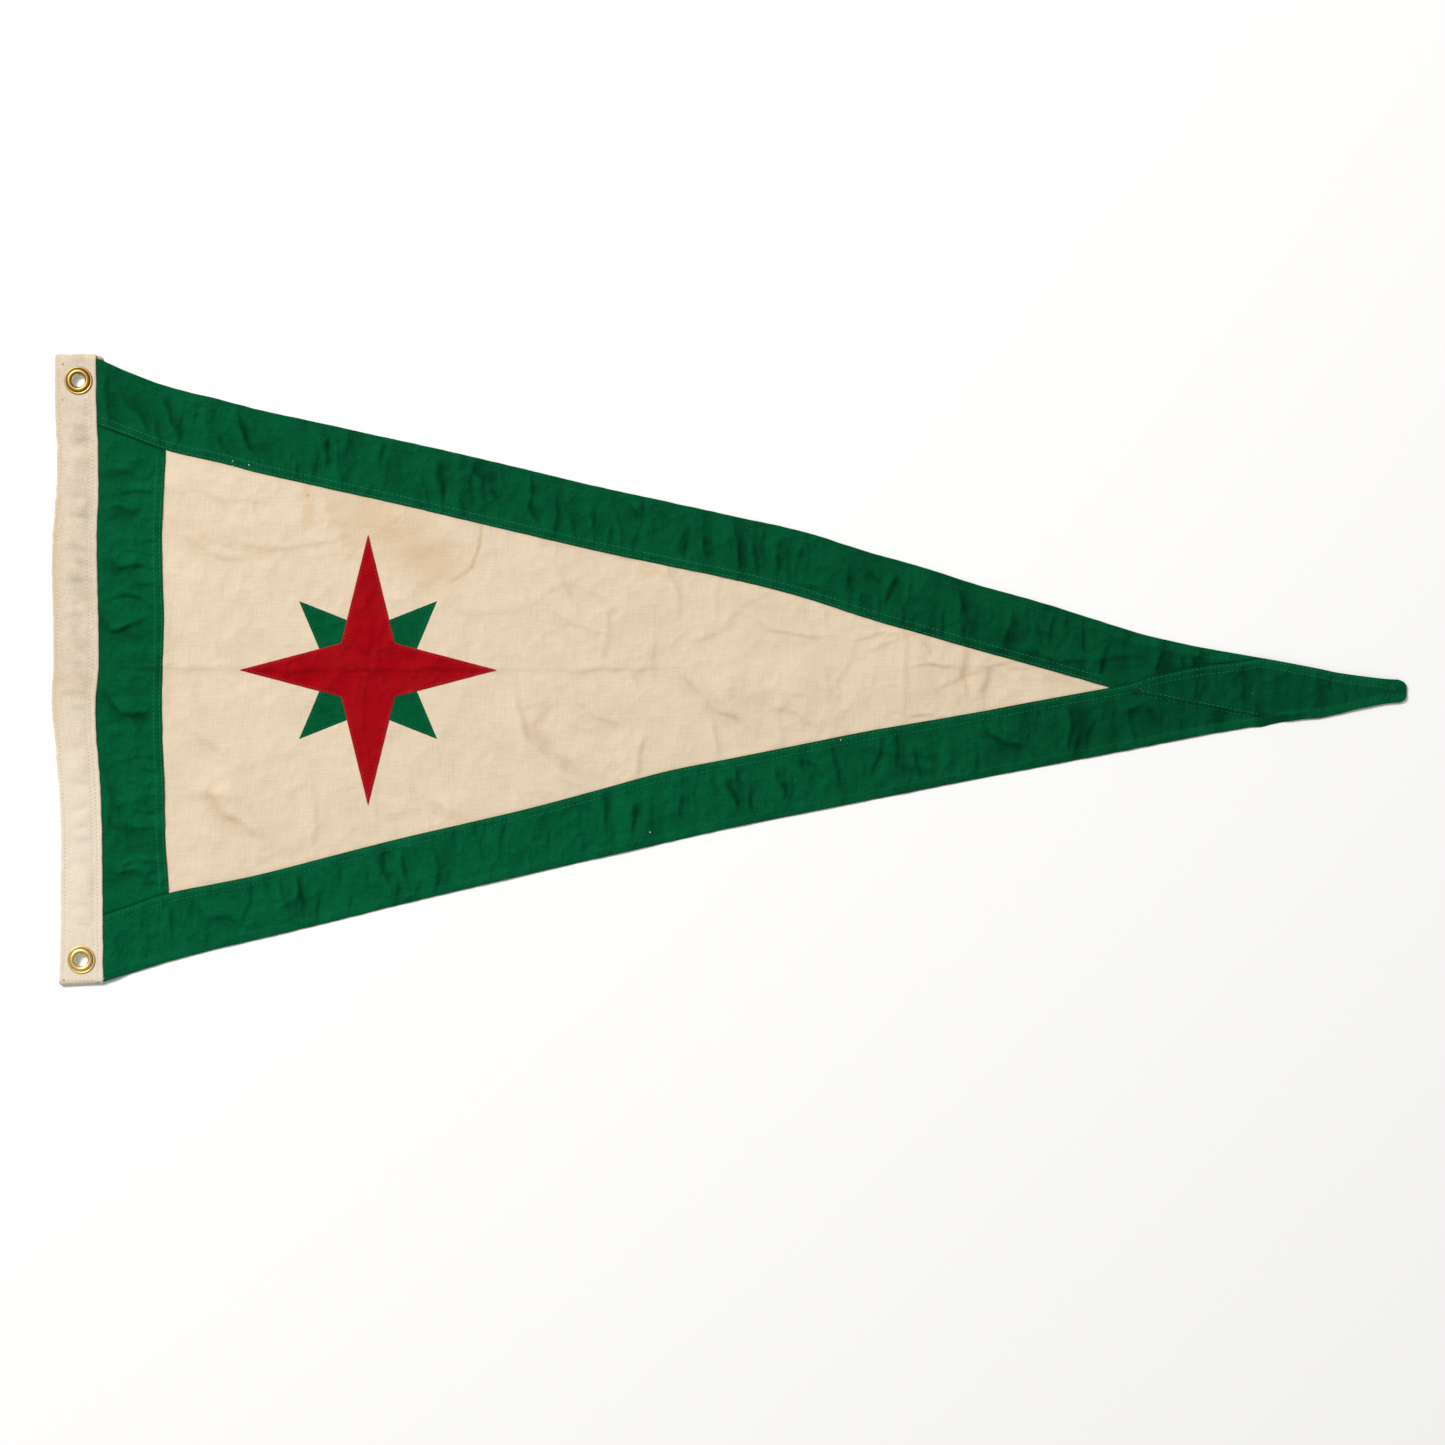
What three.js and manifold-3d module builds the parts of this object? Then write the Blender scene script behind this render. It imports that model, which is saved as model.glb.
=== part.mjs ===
// A long pennant flag of cotton with a canvas heading, lying face up on a flat surface.
// Plan sizes are in millimetres: x = 0 near the hoist seam, +X towards the fly, +Y up the hoist.
import * as THREE from 'three';
import { mergeVertices } from 'three/addons/utils/BufferGeometryUtils.js';
import Module from 'manifold-3d';

const { clamp, degToRad, lerp, smoothstep } = THREE.MathUtils;
const wasm = await Module();
wasm.setup();

// Cloth and sewing
const CLOTH = 1.0; // thickness of one layer
const GAP = 0.3; // room between pieces that lie against each other
const SEAM_ROOM = 0.22; // from the line of a seam to the edge of each cloth
const HEM_WIDTH = 6.5; // hems and felled seams along the strips
const HEM_STEP = 1.6; // width over which they fall to one layer
const HEM_RISE = 0.5; // how far they stand over one layer
const TIP_RISE = 0.9; // the end of the upper strip, folded in under the lower one
const INSERT = 5.8; // how far the strips run in between the legs of the heading
const PLATEAU = 5.7; // how far past the heading they stay at its inner height
const SLOPE = 16.5; // length over which they come down to the surface
const SEAT = CLOTH + GAP; // height of the strips inside the heading, and of the patches

// Eyelets and their washers
const BORE_R = 4.75;
const BARREL_R = 5.45;
const ROLL_R = 8.5;
const FLANGE_R = 10.3;
const FLANGE = 0.6; // thickness of the flange under the canvas
const WASHER = 0.5; // thickness of the washer on top
const ROLL = 1.0; // height of the rolled edge
const PUNCH = 20; // length of the punch that cuts the holes in the canvas
const RIM_STEPS = 24; // facets round each ring
const EYELETS = [
  { name: 'upper', x: -14.7, y: 226.5 },
  { name: 'lower', x: -12.6, y: -201.7 },
];

// Both ends of the heading stand on the flanges, and come down towards the middle of the hoist.
const END_LIFT = FLANGE + GAP;
const UPPER_RAMP = { from: 180, to: 212 };
const LOWER_RAMP = { from: -153, to: -185 };

// The heading
const HEADING_LOW = { left: -220.5, right: -219 };
const PUFF = { perSpan: 0.05, most: 0.7 }; // swell of the canvas between two creases
const HEADING_ENDS = { low: [-220.5, -210, -198, -185], high: [212, 224, 236, 241, 244.5, 246] };
const HEADING_CREASES = [
  -173, -162, -130, -114.5, -104.5, -90.5, -71.5, -45, -16, -4, 6.5,
  16.5, 50.5, 61.5, 79, 92.5, 102.5, 127, 141, 151, 180.5, 191.5, 204,
];
const CORNER = { from: 240, to: 245, reach: 4.8 }; // the back leg shows past the front one there
const LEG_STEPS = 4; // grid steps over each leg of the canvas
const FOLD_STEPS = 3; // and round the fold between them
const SWELL = [0, 0.7, 1, 0.8, 0.3]; // share of a puff at each step over the front leg

// Sections across the hoist: left edge of the heading, hoist seam, seam of the field
const HOIST = [
  { y: -219, heading: -28.9, seam: 3.1, field: 53 },
  { y: -178, heading: -28, seam: 2.8, field: 52 },
  { y: -151, heading: -27.8, seam: 2.5, field: 51.1 },
  { y: -110, heading: -27.8, seam: 2.1, field: 48.6 },
  { y: -71, heading: -29.4, seam: 0.7, field: 48 },
  { y: -42, heading: -31.7, seam: -1.7, field: 46.6 },
  { y: -13, heading: -34.6, seam: -2.7, field: 46.1 },
  { y: 16, heading: -33.3, seam: -0.4, field: 46.6 },
  { y: 50, heading: -33.4, seam: -0.7, field: 47.6 },
  { y: 80, heading: -34.3, seam: -1.3, field: 46.6 },
  { y: 109, heading: -34, seam: -1.8, field: 46 },
  { y: 144, heading: -31.2, seam: -0.6, field: 47.4 },
  { y: 176, heading: -30.6, seam: -0.9, field: 49.2 },
  { y: 208, heading: -32, seam: -2, field: 50 },
  { y: 246, heading: -32, seam: -2.2, field: 50 },
];

// Sections across the flag: upper edge, upper and lower seams of the field, lower edge
const FLAG = [
  { x: 0, top: 242.5, high: 194, low: -170.5, bottom: -218.8 },
  { x: 20, top: 233.6, high: 186.6, low: -163.5, bottom: -212.6 },
  { x: 50, top: 222.7, high: 175.5, low: -153.1, bottom: -203.3 },
  { x: 90, top: 213.3, high: 166.2, low: -145, bottom: -192.8 },
  { x: 120, top: 203.8, high: 158.4, low: -138.7, bottom: -185.9 },
  { x: 170, top: 193.8, high: 147.1, low: -125.8, bottom: -173.9 },
  { x: 220, top: 182.8, high: 136, low: -113, bottom: -161.4 },
  { x: 273, top: 171, high: 123.4, low: -100.7, bottom: -148.8 },
  { x: 320, top: 159.8, high: 112.4, low: -89.6, bottom: -137.8 },
  { x: 370, top: 147.9, high: 100.7, low: -76.2, bottom: -126.3 },
  { x: 420, top: 137.1, high: 90.2, low: -62.6, bottom: -114.8 },
  { x: 470, top: 126.2, high: 79.7, low: -52.6, bottom: -103.5 },
  { x: 520, top: 115.1, high: 67, low: -42.6, bottom: -93.4 },
  { x: 569, top: 99.9, high: 51, low: -32.8, bottom: -83.7 },
  { x: 610, top: 88.3, high: 39.2, low: -25.8, bottom: -75.6 },
  { x: 652, top: 74.9, high: 27.1, low: -18.5, bottom: -67.3 },
  { x: 690, top: 64.5, high: 16.6, low: -11.3, bottom: -60.1 },
  { x: 746, top: 46.9, high: -0.4, low: -0.5, bottom: -49.4 },
];

// Sections across the tip, where the lower strip lies over the end of the upper one
const TIP = [
  { x: 746, top: 46.9, fold: -0.45, bottom: -49.4 },
  { x: 764, top: 41.3, fold: 2.1, bottom: -45.9 },
  { x: 776, top: 37.9, fold: 6.6, bottom: -43.5 },
  { x: 795, top: 33.5, fold: 11, bottom: -39.8 },
  { x: 815, top: 29.3, fold: 14.9, bottom: -35.8 },
  { x: 845, top: 24, fold: 18.4, bottom: -30.7 },
  { x: 861, top: 21.2, fold: 21.3, bottom: -28.1 },
  { x: 888, top: 16.2, fold: 26, bottom: -24 },
  { x: 904, top: 13.1, fold: 28, bottom: -22.5 },
  { x: 916, top: 10.5, fold: 30, bottom: -20 },
  { x: 934, top: 7.9, fold: 32, bottom: -15.5 },
  { x: 952, top: 5.8, fold: 34, bottom: -12.1 },
  { x: 967, top: 5.1, fold: 36, bottom: -10.7 },
];
const TIP_END = { x: 967.3, middle: -3.1, half: 8.2, crown: 0.8, corner: 4.8 };
const TIP_LINE = { x: 766, y: -3.4, slope: -0.197, blend: 6 }; // edge of the cloth folded in below
const FIELD_END = 744;
const UPPER_STRIP_END = 858;

// The main folds: middle, turn of the crest in degrees, length, width over the foot and height
const FOLDS = [
  { x: 27, y: 92, turn: -8, length: 44, width: 26, height: 1.8 },
  { x: 26, y: 47, turn: 8, length: 44, width: 24, height: 1.6 },
  { x: 26, y: -9, turn: -20, length: 48, width: 28, height: 2.6 },
  { x: 26, y: -78, turn: -78, length: 64, width: 24, height: 2.2 },
  { x: 32, y: -126, turn: -24, length: 44, width: 26, height: 2.4 },
  { x: 118, y: 121, turn: -4, length: 104, width: 36, height: 2.2 },
  { x: 272, y: 106, turn: -40, length: 70, width: 34, height: 2.4 },
  { x: 100, y: -84, turn: -46, length: 76, width: 38, height: 3 },
  { x: 266, y: -90, turn: -36, length: 60, width: 30, height: 2.2 },
  { x: 316, y: -16, turn: -72, length: 96, width: 34, height: 3.2 },
  { x: 352, y: -52, turn: -42, length: 84, width: 34, height: 2.6 },
  { x: 388, y: -8, turn: -30, length: 84, width: 34, height: 2.4 },
  { x: 464, y: 2, turn: -42, length: 96, width: 38, height: 3.2 },
  { x: 522, y: -8, turn: -28, length: 84, width: 34, height: 2.2 },
  { x: 606, y: 8, turn: 88, length: 66, width: 32, height: 2.4 },
  { x: 652, y: 8, turn: 78, length: 44, width: 26, height: 2 },
  { x: 32, y: 212, turn: -52, length: 52, width: 22, height: 1.6 },
  { x: 116, y: 184, turn: -58, length: 48, width: 24, height: 2 },
  { x: 176, y: 168, turn: 84, length: 44, width: 22, height: 1.8 },
  { x: 258, y: 152, turn: -84, length: 44, width: 22, height: 1.6 },
  { x: 328, y: 137, turn: 84, length: 46, width: 24, height: 2.4 },
  { x: 480, y: 102, turn: 86, length: 42, width: 22, height: 1.6 },
  { x: 590, y: 68, turn: 82, length: 40, width: 22, height: 1.6 },
  { x: 646, y: 50, turn: 100, length: 40, width: 22, height: 1.9 },
  { x: 792, y: 20, turn: 60, length: 28, width: 20, height: 1.2 },
  { x: 60, y: -176, turn: -80, length: 48, width: 26, height: 2.6 },
  { x: 156, y: -156, turn: -78, length: 46, width: 24, height: 2.2 },
  { x: 222, y: -138, turn: -78, length: 46, width: 26, height: 2.2 },
  { x: 400, y: -96, turn: 84, length: 46, width: 24, height: 2.1 },
  { x: 474, y: -80, turn: -72, length: 48, width: 28, height: 2.6 },
  { x: 514, y: -70, turn: -72, length: 46, width: 26, height: 2.3 },
  { x: 668, y: -42, turn: -30, length: 40, width: 24, height: 1.8 },
  { x: 726, y: -30, turn: 88, length: 48, width: 26, height: 2.3 },
];

// The compass star sewn on the field: four long points, and four short ones between them
const STAR = { x: 199, y: 12.6, upright: 100, across: 95, valley: 28, short: 72, shoulder: 0.2 };
const STAR_STEPS = 48; // a multiple of eight, so that each tip and valley is a vertex
const STAR_RINGS = 4;
const STAR_FLAT = { from: 104, to: 122 }; // the folds die out inside this ring

const WHITE = new THREE.MeshStandardMaterial({ color: 0xe0cfb5, roughness: 0.95, metalness: 0 });
const GREEN = new THREE.MeshStandardMaterial({ color: 0x06542f, roughness: 0.9, metalness: 0 });
const RED = new THREE.MeshStandardMaterial({ color: 0xa50014, roughness: 0.9, metalness: 0 });
const CANVAS = new THREE.MeshStandardMaterial({ color: 0xe6d5c0, roughness: 0.95, metalness: 0 });
const BRASS = new THREE.MeshStandardMaterial({ color: 0xb58e4c, roughness: 0.35, metalness: 1 });

// A column of a table at a place between its rows, on a smooth curve through them
function read(table, key, column, place) {
  const last = table.length - 1;
  let i = 0;
  while (i < last - 1 && table[i + 1][key] <= place) i += 1;
  const slope = (a, b) => (table[b][column] - table[a][column]) / (table[b][key] - table[a][key]);
  const span = table[i + 1][key] - table[i][key];
  const t = clamp((place - table[i][key]) / span, 0, 1);
  const leaving = slope(Math.max(i - 1, 0), i + 1) * span;
  const arriving = slope(i, Math.min(i + 2, last)) * span;
  const ease = t * t * (3 - 2 * t);
  const bend = t * (1 - t) * (leaving * (1 - t) - arriving * t);
  return lerp(table[i][column], table[i + 1][column], ease) + bend;
}

const hoistEdge = (column) => (y) => read(HOIST, 'y', column, y);
const flagEdge = (column) => (x) => read(FLAG, 'x', column, x);
const tipEdge = (column) => (x) => read(TIP, 'x', column, x);
const hoistSeam = hoistEdge('seam');
const topEdge = (x) => (x < TIP[0].x ? flagEdge('top')(x) : tipEdge('top')(x));
const bottomEdge = (x) => (x < TIP[0].x ? flagEdge('bottom')(x) : tipEdge('bottom')(x));

// How far the ends of the heading, and the strips in them, stand over its middle
function endLift(y) {
  const upper = (y - UPPER_RAMP.from) / (UPPER_RAMP.to - UPPER_RAMP.from);
  const lower = (y - LOWER_RAMP.from) / (LOWER_RAMP.to - LOWER_RAMP.from);
  return END_LIFT * clamp(Math.max(upper, lower), 0, 1);
}

// Height of one fold at a place: a round crest that dies out towards its ends
function foldHeight(fold, x, y) {
  const angle = degToRad(fold.turn);
  const dx = x - fold.x;
  const dy = y - fold.y;
  const along = (dx * Math.cos(angle) + dy * Math.sin(angle)) / fold.length;
  const across = (dy * Math.cos(angle) - dx * Math.sin(angle)) / fold.width;
  if (Math.abs(along) > 0.5 || Math.abs(across) > 0.5) return 0;
  return fold.height * Math.cos(Math.PI * across) ** 2 * (1 - (2 * along) ** 4);
}

// Height of the underside of the strips and the field over the surface they lie on
function underside(x, y) {
  const past = x - hoistSeam(y) - PLATEAU;
  const seat = (SEAT + endLift(y)) * (1 - smoothstep(past, 0, SLOPE));
  const star = Math.hypot(x - STAR.x, y - STAR.y);
  const free = smoothstep(past, 0, SLOPE) * smoothstep(star, STAR_FLAT.from, STAR_FLAT.to);
  return seat + free * FOLDS.reduce((sum, fold) => sum + foldHeight(fold, x, y), 0);
}

// Shared vertices merged and empty triangles dropped, so that the mesh is one closed skin
function closed(geometry) {
  geometry.deleteAttribute('normal');
  geometry.deleteAttribute('uv');
  const merged = mergeVertices(geometry, 1e-3);
  const corners = merged.index.array;
  const kept = [];
  for (let n = 0; n < corners.length; n += 3) {
    const [a, b, c] = corners.slice(n, n + 3);
    if (a !== b && b !== c && c !== a) kept.push(a, b, c);
  }
  merged.setIndex(kept);
  return merged;
}

// A block of columns by rows whose grid points are moved to their places, on side 0 or 1
function sheet(columns, rows, place) {
  const block = new THREE.BoxGeometry(1, 1, 1, columns, rows, 1);
  const points = block.getAttribute('position');
  for (let n = 0; n < points.count; n += 1) {
    const column = Math.round((points.getX(n) + 0.5) * columns);
    const row = Math.round((points.getY(n) + 0.5) * rows);
    points.setXYZ(n, ...place(column, row, points.getZ(n) > 0 ? 1 : 0));
  }
  return closed(block);
}

// A cloth between four edges: left and right give x at a y, low and high give y at an x
function cloth({ left, right, low, high, columns, rows, rise }) {
  const lastRow = rows(1).length - 1;
  const place = (column, row, side) => {
    let y = 0;
    let x = lerp(left(y), right(y), columns[column]);
    for (let pass = 0; pass < 6; pass += 1) {
      y = low(x) + rows(high(x) - low(x))[row];
      x = lerp(left(y), right(y), columns[column]);
    }
    const shown = smoothstep(x - hoistSeam(y), 1, 8);
    const thickness = CLOTH + shown * rise(column, row, x, y);
    return [x, y, underside(x, y) + side * thickness];
  };
  return sheet(columns.length - 1, lastRow, place);
}

// Shares of a length, close together over the slope beside the heading and even after it
function hoistColumns(length, count) {
  const beside = [0, INSERT, INSERT + PLATEAU];
  const slope = [1, 2, 3].map((n) => INSERT + PLATEAU + (n * SLOPE) / 3);
  const start = [...beside, ...slope];
  const rest = length - start.at(-1);
  const even = Array.from({ length: count }, (_, n) => start.at(-1) + (rest * (n + 1)) / count);
  return [...start, ...even].map((distance) => distance / length);
}

const evenShares = (count) => Array.from({ length: count + 1 }, (_, n) => n / count);

// Rows across a strip: a hem or felled seam along each side and two rows between
function hemmedRows(width) {
  const hem = Math.min(HEM_WIDTH, width * 0.3);
  const step = Math.min(HEM_STEP, width * 0.08);
  return [0, hem, hem + step, width / 2, width - hem - step, width - hem, width];
}
const HEMMED = [1, 1, 0, 0, 0, 1, 1];

function whiteField() {
  return cloth({
    left: (y) => hoistEdge('field')(y) + SEAM_ROOM,
    right: () => FIELD_END,
    low: (x) => flagEdge('low')(x) + SEAM_ROOM,
    high: (x) => flagEdge('high')(x) - SEAM_ROOM,
    columns: evenShares(46),
    rows: (height) => evenShares(14).map((share) => share * height),
    rise: () => 0,
  });
}

function hoistBorder() {
  const width = INSERT + HOIST[7].field - HOIST[7].seam;
  const open = hoistColumns(width, 1).slice(0, -1);
  const seam = [1 - (HEM_WIDTH + HEM_STEP) / width, 1 - HEM_WIDTH / width, 1];
  const columns = [...open, ...seam];
  return cloth({
    left: (y) => hoistSeam(y) - INSERT,
    right: (y) => hoistEdge('field')(y) - SEAM_ROOM,
    low: (x) => flagEdge('low')(x) + SEAM_ROOM,
    high: (x) => flagEdge('high')(x) - SEAM_ROOM,
    columns,
    rows: (height) => evenShares(32).map((share) => share * height),
    rise: (column) => (column > columns.length - 3 ? HEM_RISE : 0),
  });
}

function upperBorder() {
  const inner = (x) => (x < TIP[0].x ? flagEdge('high')(x) : tipEdge('fold')(x));
  return cloth({
    left: (y) => hoistSeam(y) - INSERT,
    right: () => UPPER_STRIP_END,
    low: (x) => inner(x) + SEAM_ROOM,
    high: topEdge,
    columns: hoistColumns(UPPER_STRIP_END + INSERT, 74),
    rows: hemmedRows,
    rise: (column, row) => HEM_RISE * HEMMED[row],
  });
}

// Right end of the tip: blunt, a little crowned, with round corners
function tipEnd(y) {
  const t = clamp((y - TIP_END.middle) / TIP_END.half, -1, 1);
  return TIP_END.x - TIP_END.crown * t ** 2 - TIP_END.corner * t ** 6;
}

// The lower strip is double from the line where the end of the upper one is folded in
function tipRise(x, y) {
  const line = TIP_LINE.y + TIP_LINE.slope * (x - TIP_LINE.x);
  const inside = smoothstep(y - line, -TIP_LINE.blend / 2, TIP_LINE.blend / 2);
  return TIP_RISE * inside * smoothstep(x, TIP_LINE.x, TIP_LINE.x + 2 * TIP_LINE.blend);
}

function lowerBorder() {
  const folded = (x) => Math.min(tipEdge('fold')(x) - SEAM_ROOM, topEdge(x));
  return cloth({
    left: (y) => hoistSeam(y) - INSERT,
    right: tipEnd,
    low: bottomEdge,
    high: (x) => (x < TIP[0].x ? flagEdge('low')(x) - SEAM_ROOM : folded(x)),
    columns: hoistColumns(TIP_END.x + INSERT, 84),
    rows: hemmedRows,
    rise: (column, row, x, y) => HEM_RISE * HEMMED[row] + tipRise(x, y),
  });
}

// Sections along the heading: a crease, the crest of the puff after it, and the next crease
function headingSections() {
  const sections = HEADING_ENDS.low.map((y) => ({ y, puff: 0 }));
  HEADING_CREASES.forEach((y, n) => {
    sections.push({ y, puff: 0 });
    const span = HEADING_CREASES[n + 1] - y;
    if (span > 0) sections.push({ y: y + span / 2, puff: Math.min(PUFF.perSpan * span, PUFF.most) });
  });
  return [...sections, ...HEADING_ENDS.high.map((y) => ({ y, puff: 0 }))];
}

// The canvas seen from its end is a U on its side: back leg, fold at the left, front leg
function headingPoint(section, step, side) {
  const outer = (3 * CLOTH + 2 * GAP) / 2;
  const { y, puff } = section;
  const left = hoistEdge('heading')(y) + outer;
  const right = hoistSeam(y);
  const corner = y >= CORNER.from && y <= CORNER.to ? CORNER.reach : GAP;
  const offset = (side - 0.5) * CLOTH;
  const lift = endLift(y);
  if (step <= LEG_STEPS) {
    return [lerp(right + corner, left, step / LEG_STEPS), y, lift + CLOTH / 2 - offset];
  }
  if (step < LEG_STEPS + FOLD_STEPS) {
    const angle = -Math.PI / 2 - (Math.PI * (step - LEG_STEPS)) / FOLD_STEPS;
    const radius = outer - CLOTH / 2 + offset;
    return [left + radius * Math.cos(angle), y, lift + outer + radius * Math.sin(angle)];
  }
  const over = step - LEG_STEPS - FOLD_STEPS;
  const height = lift + 2 * outer - CLOTH / 2 + puff * SWELL[over];
  return [lerp(left, right, over / LEG_STEPS), y, height + offset];
}

function manifoldOf(geometry) {
  return new wasm.Manifold(new wasm.Mesh({
    numProp: 3,
    vertProperties: geometry.getAttribute('position').array,
    triVerts: new Uint32Array(geometry.index.array),
  }));
}

function geometryOf(manifold) {
  const mesh = manifold.getMesh();
  const geometry = new THREE.BufferGeometry();
  geometry.setAttribute('position', new THREE.BufferAttribute(mesh.vertProperties, 3));
  geometry.setIndex(new THREE.BufferAttribute(mesh.triVerts, 1));
  return geometry;
}

function heading() {
  const sections = headingSections();
  const steps = 2 * LEG_STEPS + FOLD_STEPS;
  const start = HOIST[0];
  const canvas = sheet(steps, sections.length - 1, (step, row, side) => {
    const [x, y, z] = headingPoint(sections[row], step, side);
    const across = (x - start.heading) / (start.seam - start.heading);
    return [x, row === 0 ? lerp(HEADING_LOW.left, HEADING_LOW.right, across) : y, z];
  });
  let solid = manifoldOf(canvas);
  for (const { x, y } of EYELETS) {
    const punch = new THREE.CylinderGeometry(BARREL_R + GAP, BARREL_R + GAP, PUNCH, RIM_STEPS);
    punch.rotateX(Math.PI / 2).translate(x, y, 0);
    solid = solid.subtract(manifoldOf(closed(punch)));
  }
  return geometryOf(solid);
}

// A ring turned about the upright axis of an eyelet, from a closed profile of [radius, height]
function turned(profile, { x, y }) {
  const points = [...profile, profile[0]].map(([r, z]) => new THREE.Vector2(r, z));
  const ring = new THREE.LatheGeometry(points, RIM_STEPS);
  return closed(ring.rotateX(Math.PI / 2).translate(x, y, 0));
}

const WASHER_SEAT = END_LIFT + 3 * CLOTH + 3 * GAP;
const ROLL_SEAT = WASHER_SEAT + WASHER + GAP;

function eyelet(place) {
  const top = ROLL_SEAT + ROLL;
  return turned([
    [BORE_R + 0.65, 0], [FLANGE_R - 0.3, 0], [FLANGE_R, FLANGE / 2], [FLANGE_R - 0.3, FLANGE],
    [BARREL_R, FLANGE], [BARREL_R, ROLL_SEAT - 0.2], [BARREL_R + 0.5, ROLL_SEAT],
    [ROLL_R - 0.3, ROLL_SEAT], [ROLL_R, ROLL_SEAT + 0.3], [ROLL_R - 0.2, top - 0.3],
    [ROLL_R - 0.9, top], [ROLL_R - 1.8, top], [BORE_R + 1.15, top - 0.3],
    [BORE_R + 0.35, top - 1], [BORE_R, top - 1.7], [BORE_R, 0.8],
  ], place);
}

function washer(place) {
  const top = WASHER_SEAT + WASHER;
  return turned([
    [BARREL_R + 0.55, WASHER_SEAT], [FLANGE_R - 0.3, WASHER_SEAT], [FLANGE_R, WASHER_SEAT + 0.2],
    [FLANGE_R - 0.3, top], [BARREL_R + 0.55, top],
  ], place);
}

// Where two straight edges between a long tip and a valley put the outline, in a direction
function starReach(angle) {
  const eighth = Math.PI / 4;
  const turn = ((angle % (2 * eighth)) + 2 * eighth) % (2 * eighth);
  const quarter = Math.round(angle / (2 * eighth));
  const tip = quarter % 2 === 0 ? STAR.across : STAR.upright;
  const off = Math.min(turn, 2 * eighth - turn);
  const area = tip * STAR.valley * Math.sin(eighth);
  return area / (tip * Math.sin(off) + STAR.valley * Math.sin(eighth - off));
}

function redStar() {
  const rings = Array.from({ length: STAR_RINGS + 1 }, (_, n) => n / STAR_RINGS);
  const profile = [
    ...rings.map((r) => new THREE.Vector2(r, 0)),
    ...rings.reverse().map((r) => new THREE.Vector2(r, 1)),
  ];
  const disc = new THREE.LatheGeometry(profile, STAR_STEPS).rotateX(Math.PI / 2);
  const points = disc.getAttribute('position');
  for (let n = 0; n < points.count; n += 1) {
    const across = points.getX(n);
    const up = points.getY(n);
    const reach = starReach(Math.atan2(up, across));
    const x = STAR.x + across * reach;
    const y = STAR.y + up * reach;
    points.setXYZ(n, x, y, underside(x, y) + SEAT + points.getZ(n) * CLOTH);
  }
  return closed(disc);
}

// A short point: a kite between two long points, a little apart from both
function greenPoint(quarter) {
  const signX = quarter === 0 || quarter === 3 ? 1 : -1;
  const signY = quarter < 2 ? 1 : -1;
  const diagonal = Math.SQRT1_2;
  const shift = 1.2 * GAP * diagonal;
  const valley = [STAR.valley * diagonal, STAR.valley * diagonal];
  const sideX = [lerp(valley[0], STAR.across, STAR.shoulder), valley[1] * (1 - STAR.shoulder)];
  const sideY = [valley[0] * (1 - STAR.shoulder), lerp(valley[1], STAR.upright, STAR.shoulder)];
  const tip = [STAR.short * diagonal, STAR.short * diagonal];
  const steps = 4;
  return sheet(steps, steps, (column, row, side) => {
    const u = column / steps;
    const v = signX * signY > 0 ? row / steps : 1 - row / steps;
    const mix = (n) => lerp(lerp(valley[n], sideX[n], u), lerp(sideY[n], tip[n], u), v) + shift;
    const x = STAR.x + signX * mix(0);
    const y = STAR.y + signY * mix(1);
    return [x, y, underside(x, y) + SEAT + side * CLOTH];
  });
}

const flag = new THREE.Group();

function add(name, geometry, material) {
  const mesh = new THREE.Mesh(geometry, material);
  mesh.name = name;
  flag.add(mesh);
}

add('white_field', whiteField(), WHITE);
add('hoist_border', hoistBorder(), GREEN);
add('upper_border', upperBorder(), GREEN);
add('lower_border', lowerBorder(), GREEN);
add('heading', heading(), CANVAS);
add('star_red', redStar(), RED);
for (let quarter = 0; quarter < 4; quarter += 1) {
  add(`star_green_${quarter + 1}`, greenPoint(quarter), GREEN);
}
for (const place of EYELETS) {
  add(`eyelet_${place.name}`, eyelet(place), BRASS);
  add(`washer_${place.name}`, washer(place), BRASS);
}

// The origin lies in the middle of the flag's outline, on the surface under it
const outline = new THREE.Box3().setFromObject(flag);
const middle = outline.getCenter(new THREE.Vector3());
flag.children.forEach((mesh) => mesh.position.set(-middle.x, -middle.y, -outline.min.z));

export default flag;
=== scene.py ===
"""Pennant flag of cotton with a canvas heading and brass eyelets, laid out face up."""
import math
import random

import bmesh
import bpy
import numpy as np
from mathutils import Matrix, Vector, noise


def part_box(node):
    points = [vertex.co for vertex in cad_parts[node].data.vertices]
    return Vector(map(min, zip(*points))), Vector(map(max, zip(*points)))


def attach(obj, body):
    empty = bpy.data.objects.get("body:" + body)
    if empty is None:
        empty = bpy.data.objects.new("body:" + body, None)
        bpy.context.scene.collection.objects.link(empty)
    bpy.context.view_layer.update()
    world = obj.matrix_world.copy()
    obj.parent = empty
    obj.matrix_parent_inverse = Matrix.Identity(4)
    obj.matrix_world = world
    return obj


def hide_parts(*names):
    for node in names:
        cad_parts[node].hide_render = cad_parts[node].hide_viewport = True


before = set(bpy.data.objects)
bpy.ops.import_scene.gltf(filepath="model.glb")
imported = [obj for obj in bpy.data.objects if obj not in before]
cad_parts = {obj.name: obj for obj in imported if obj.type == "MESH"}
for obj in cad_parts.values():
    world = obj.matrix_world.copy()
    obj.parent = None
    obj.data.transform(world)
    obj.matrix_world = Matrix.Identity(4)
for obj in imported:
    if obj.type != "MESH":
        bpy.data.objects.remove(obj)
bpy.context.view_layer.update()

# Camera: straight above the middle of the flag, square to the surface that it lies on.
VIEW_MIDDLE = (-0.00506, -0.0390)
VIEW_WIDTH = 1.0693  # what the view takes in, at the level of the cloth
VIEW_HEIGHT = 2.3
CLOTH_LEVEL = 0.002

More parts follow.
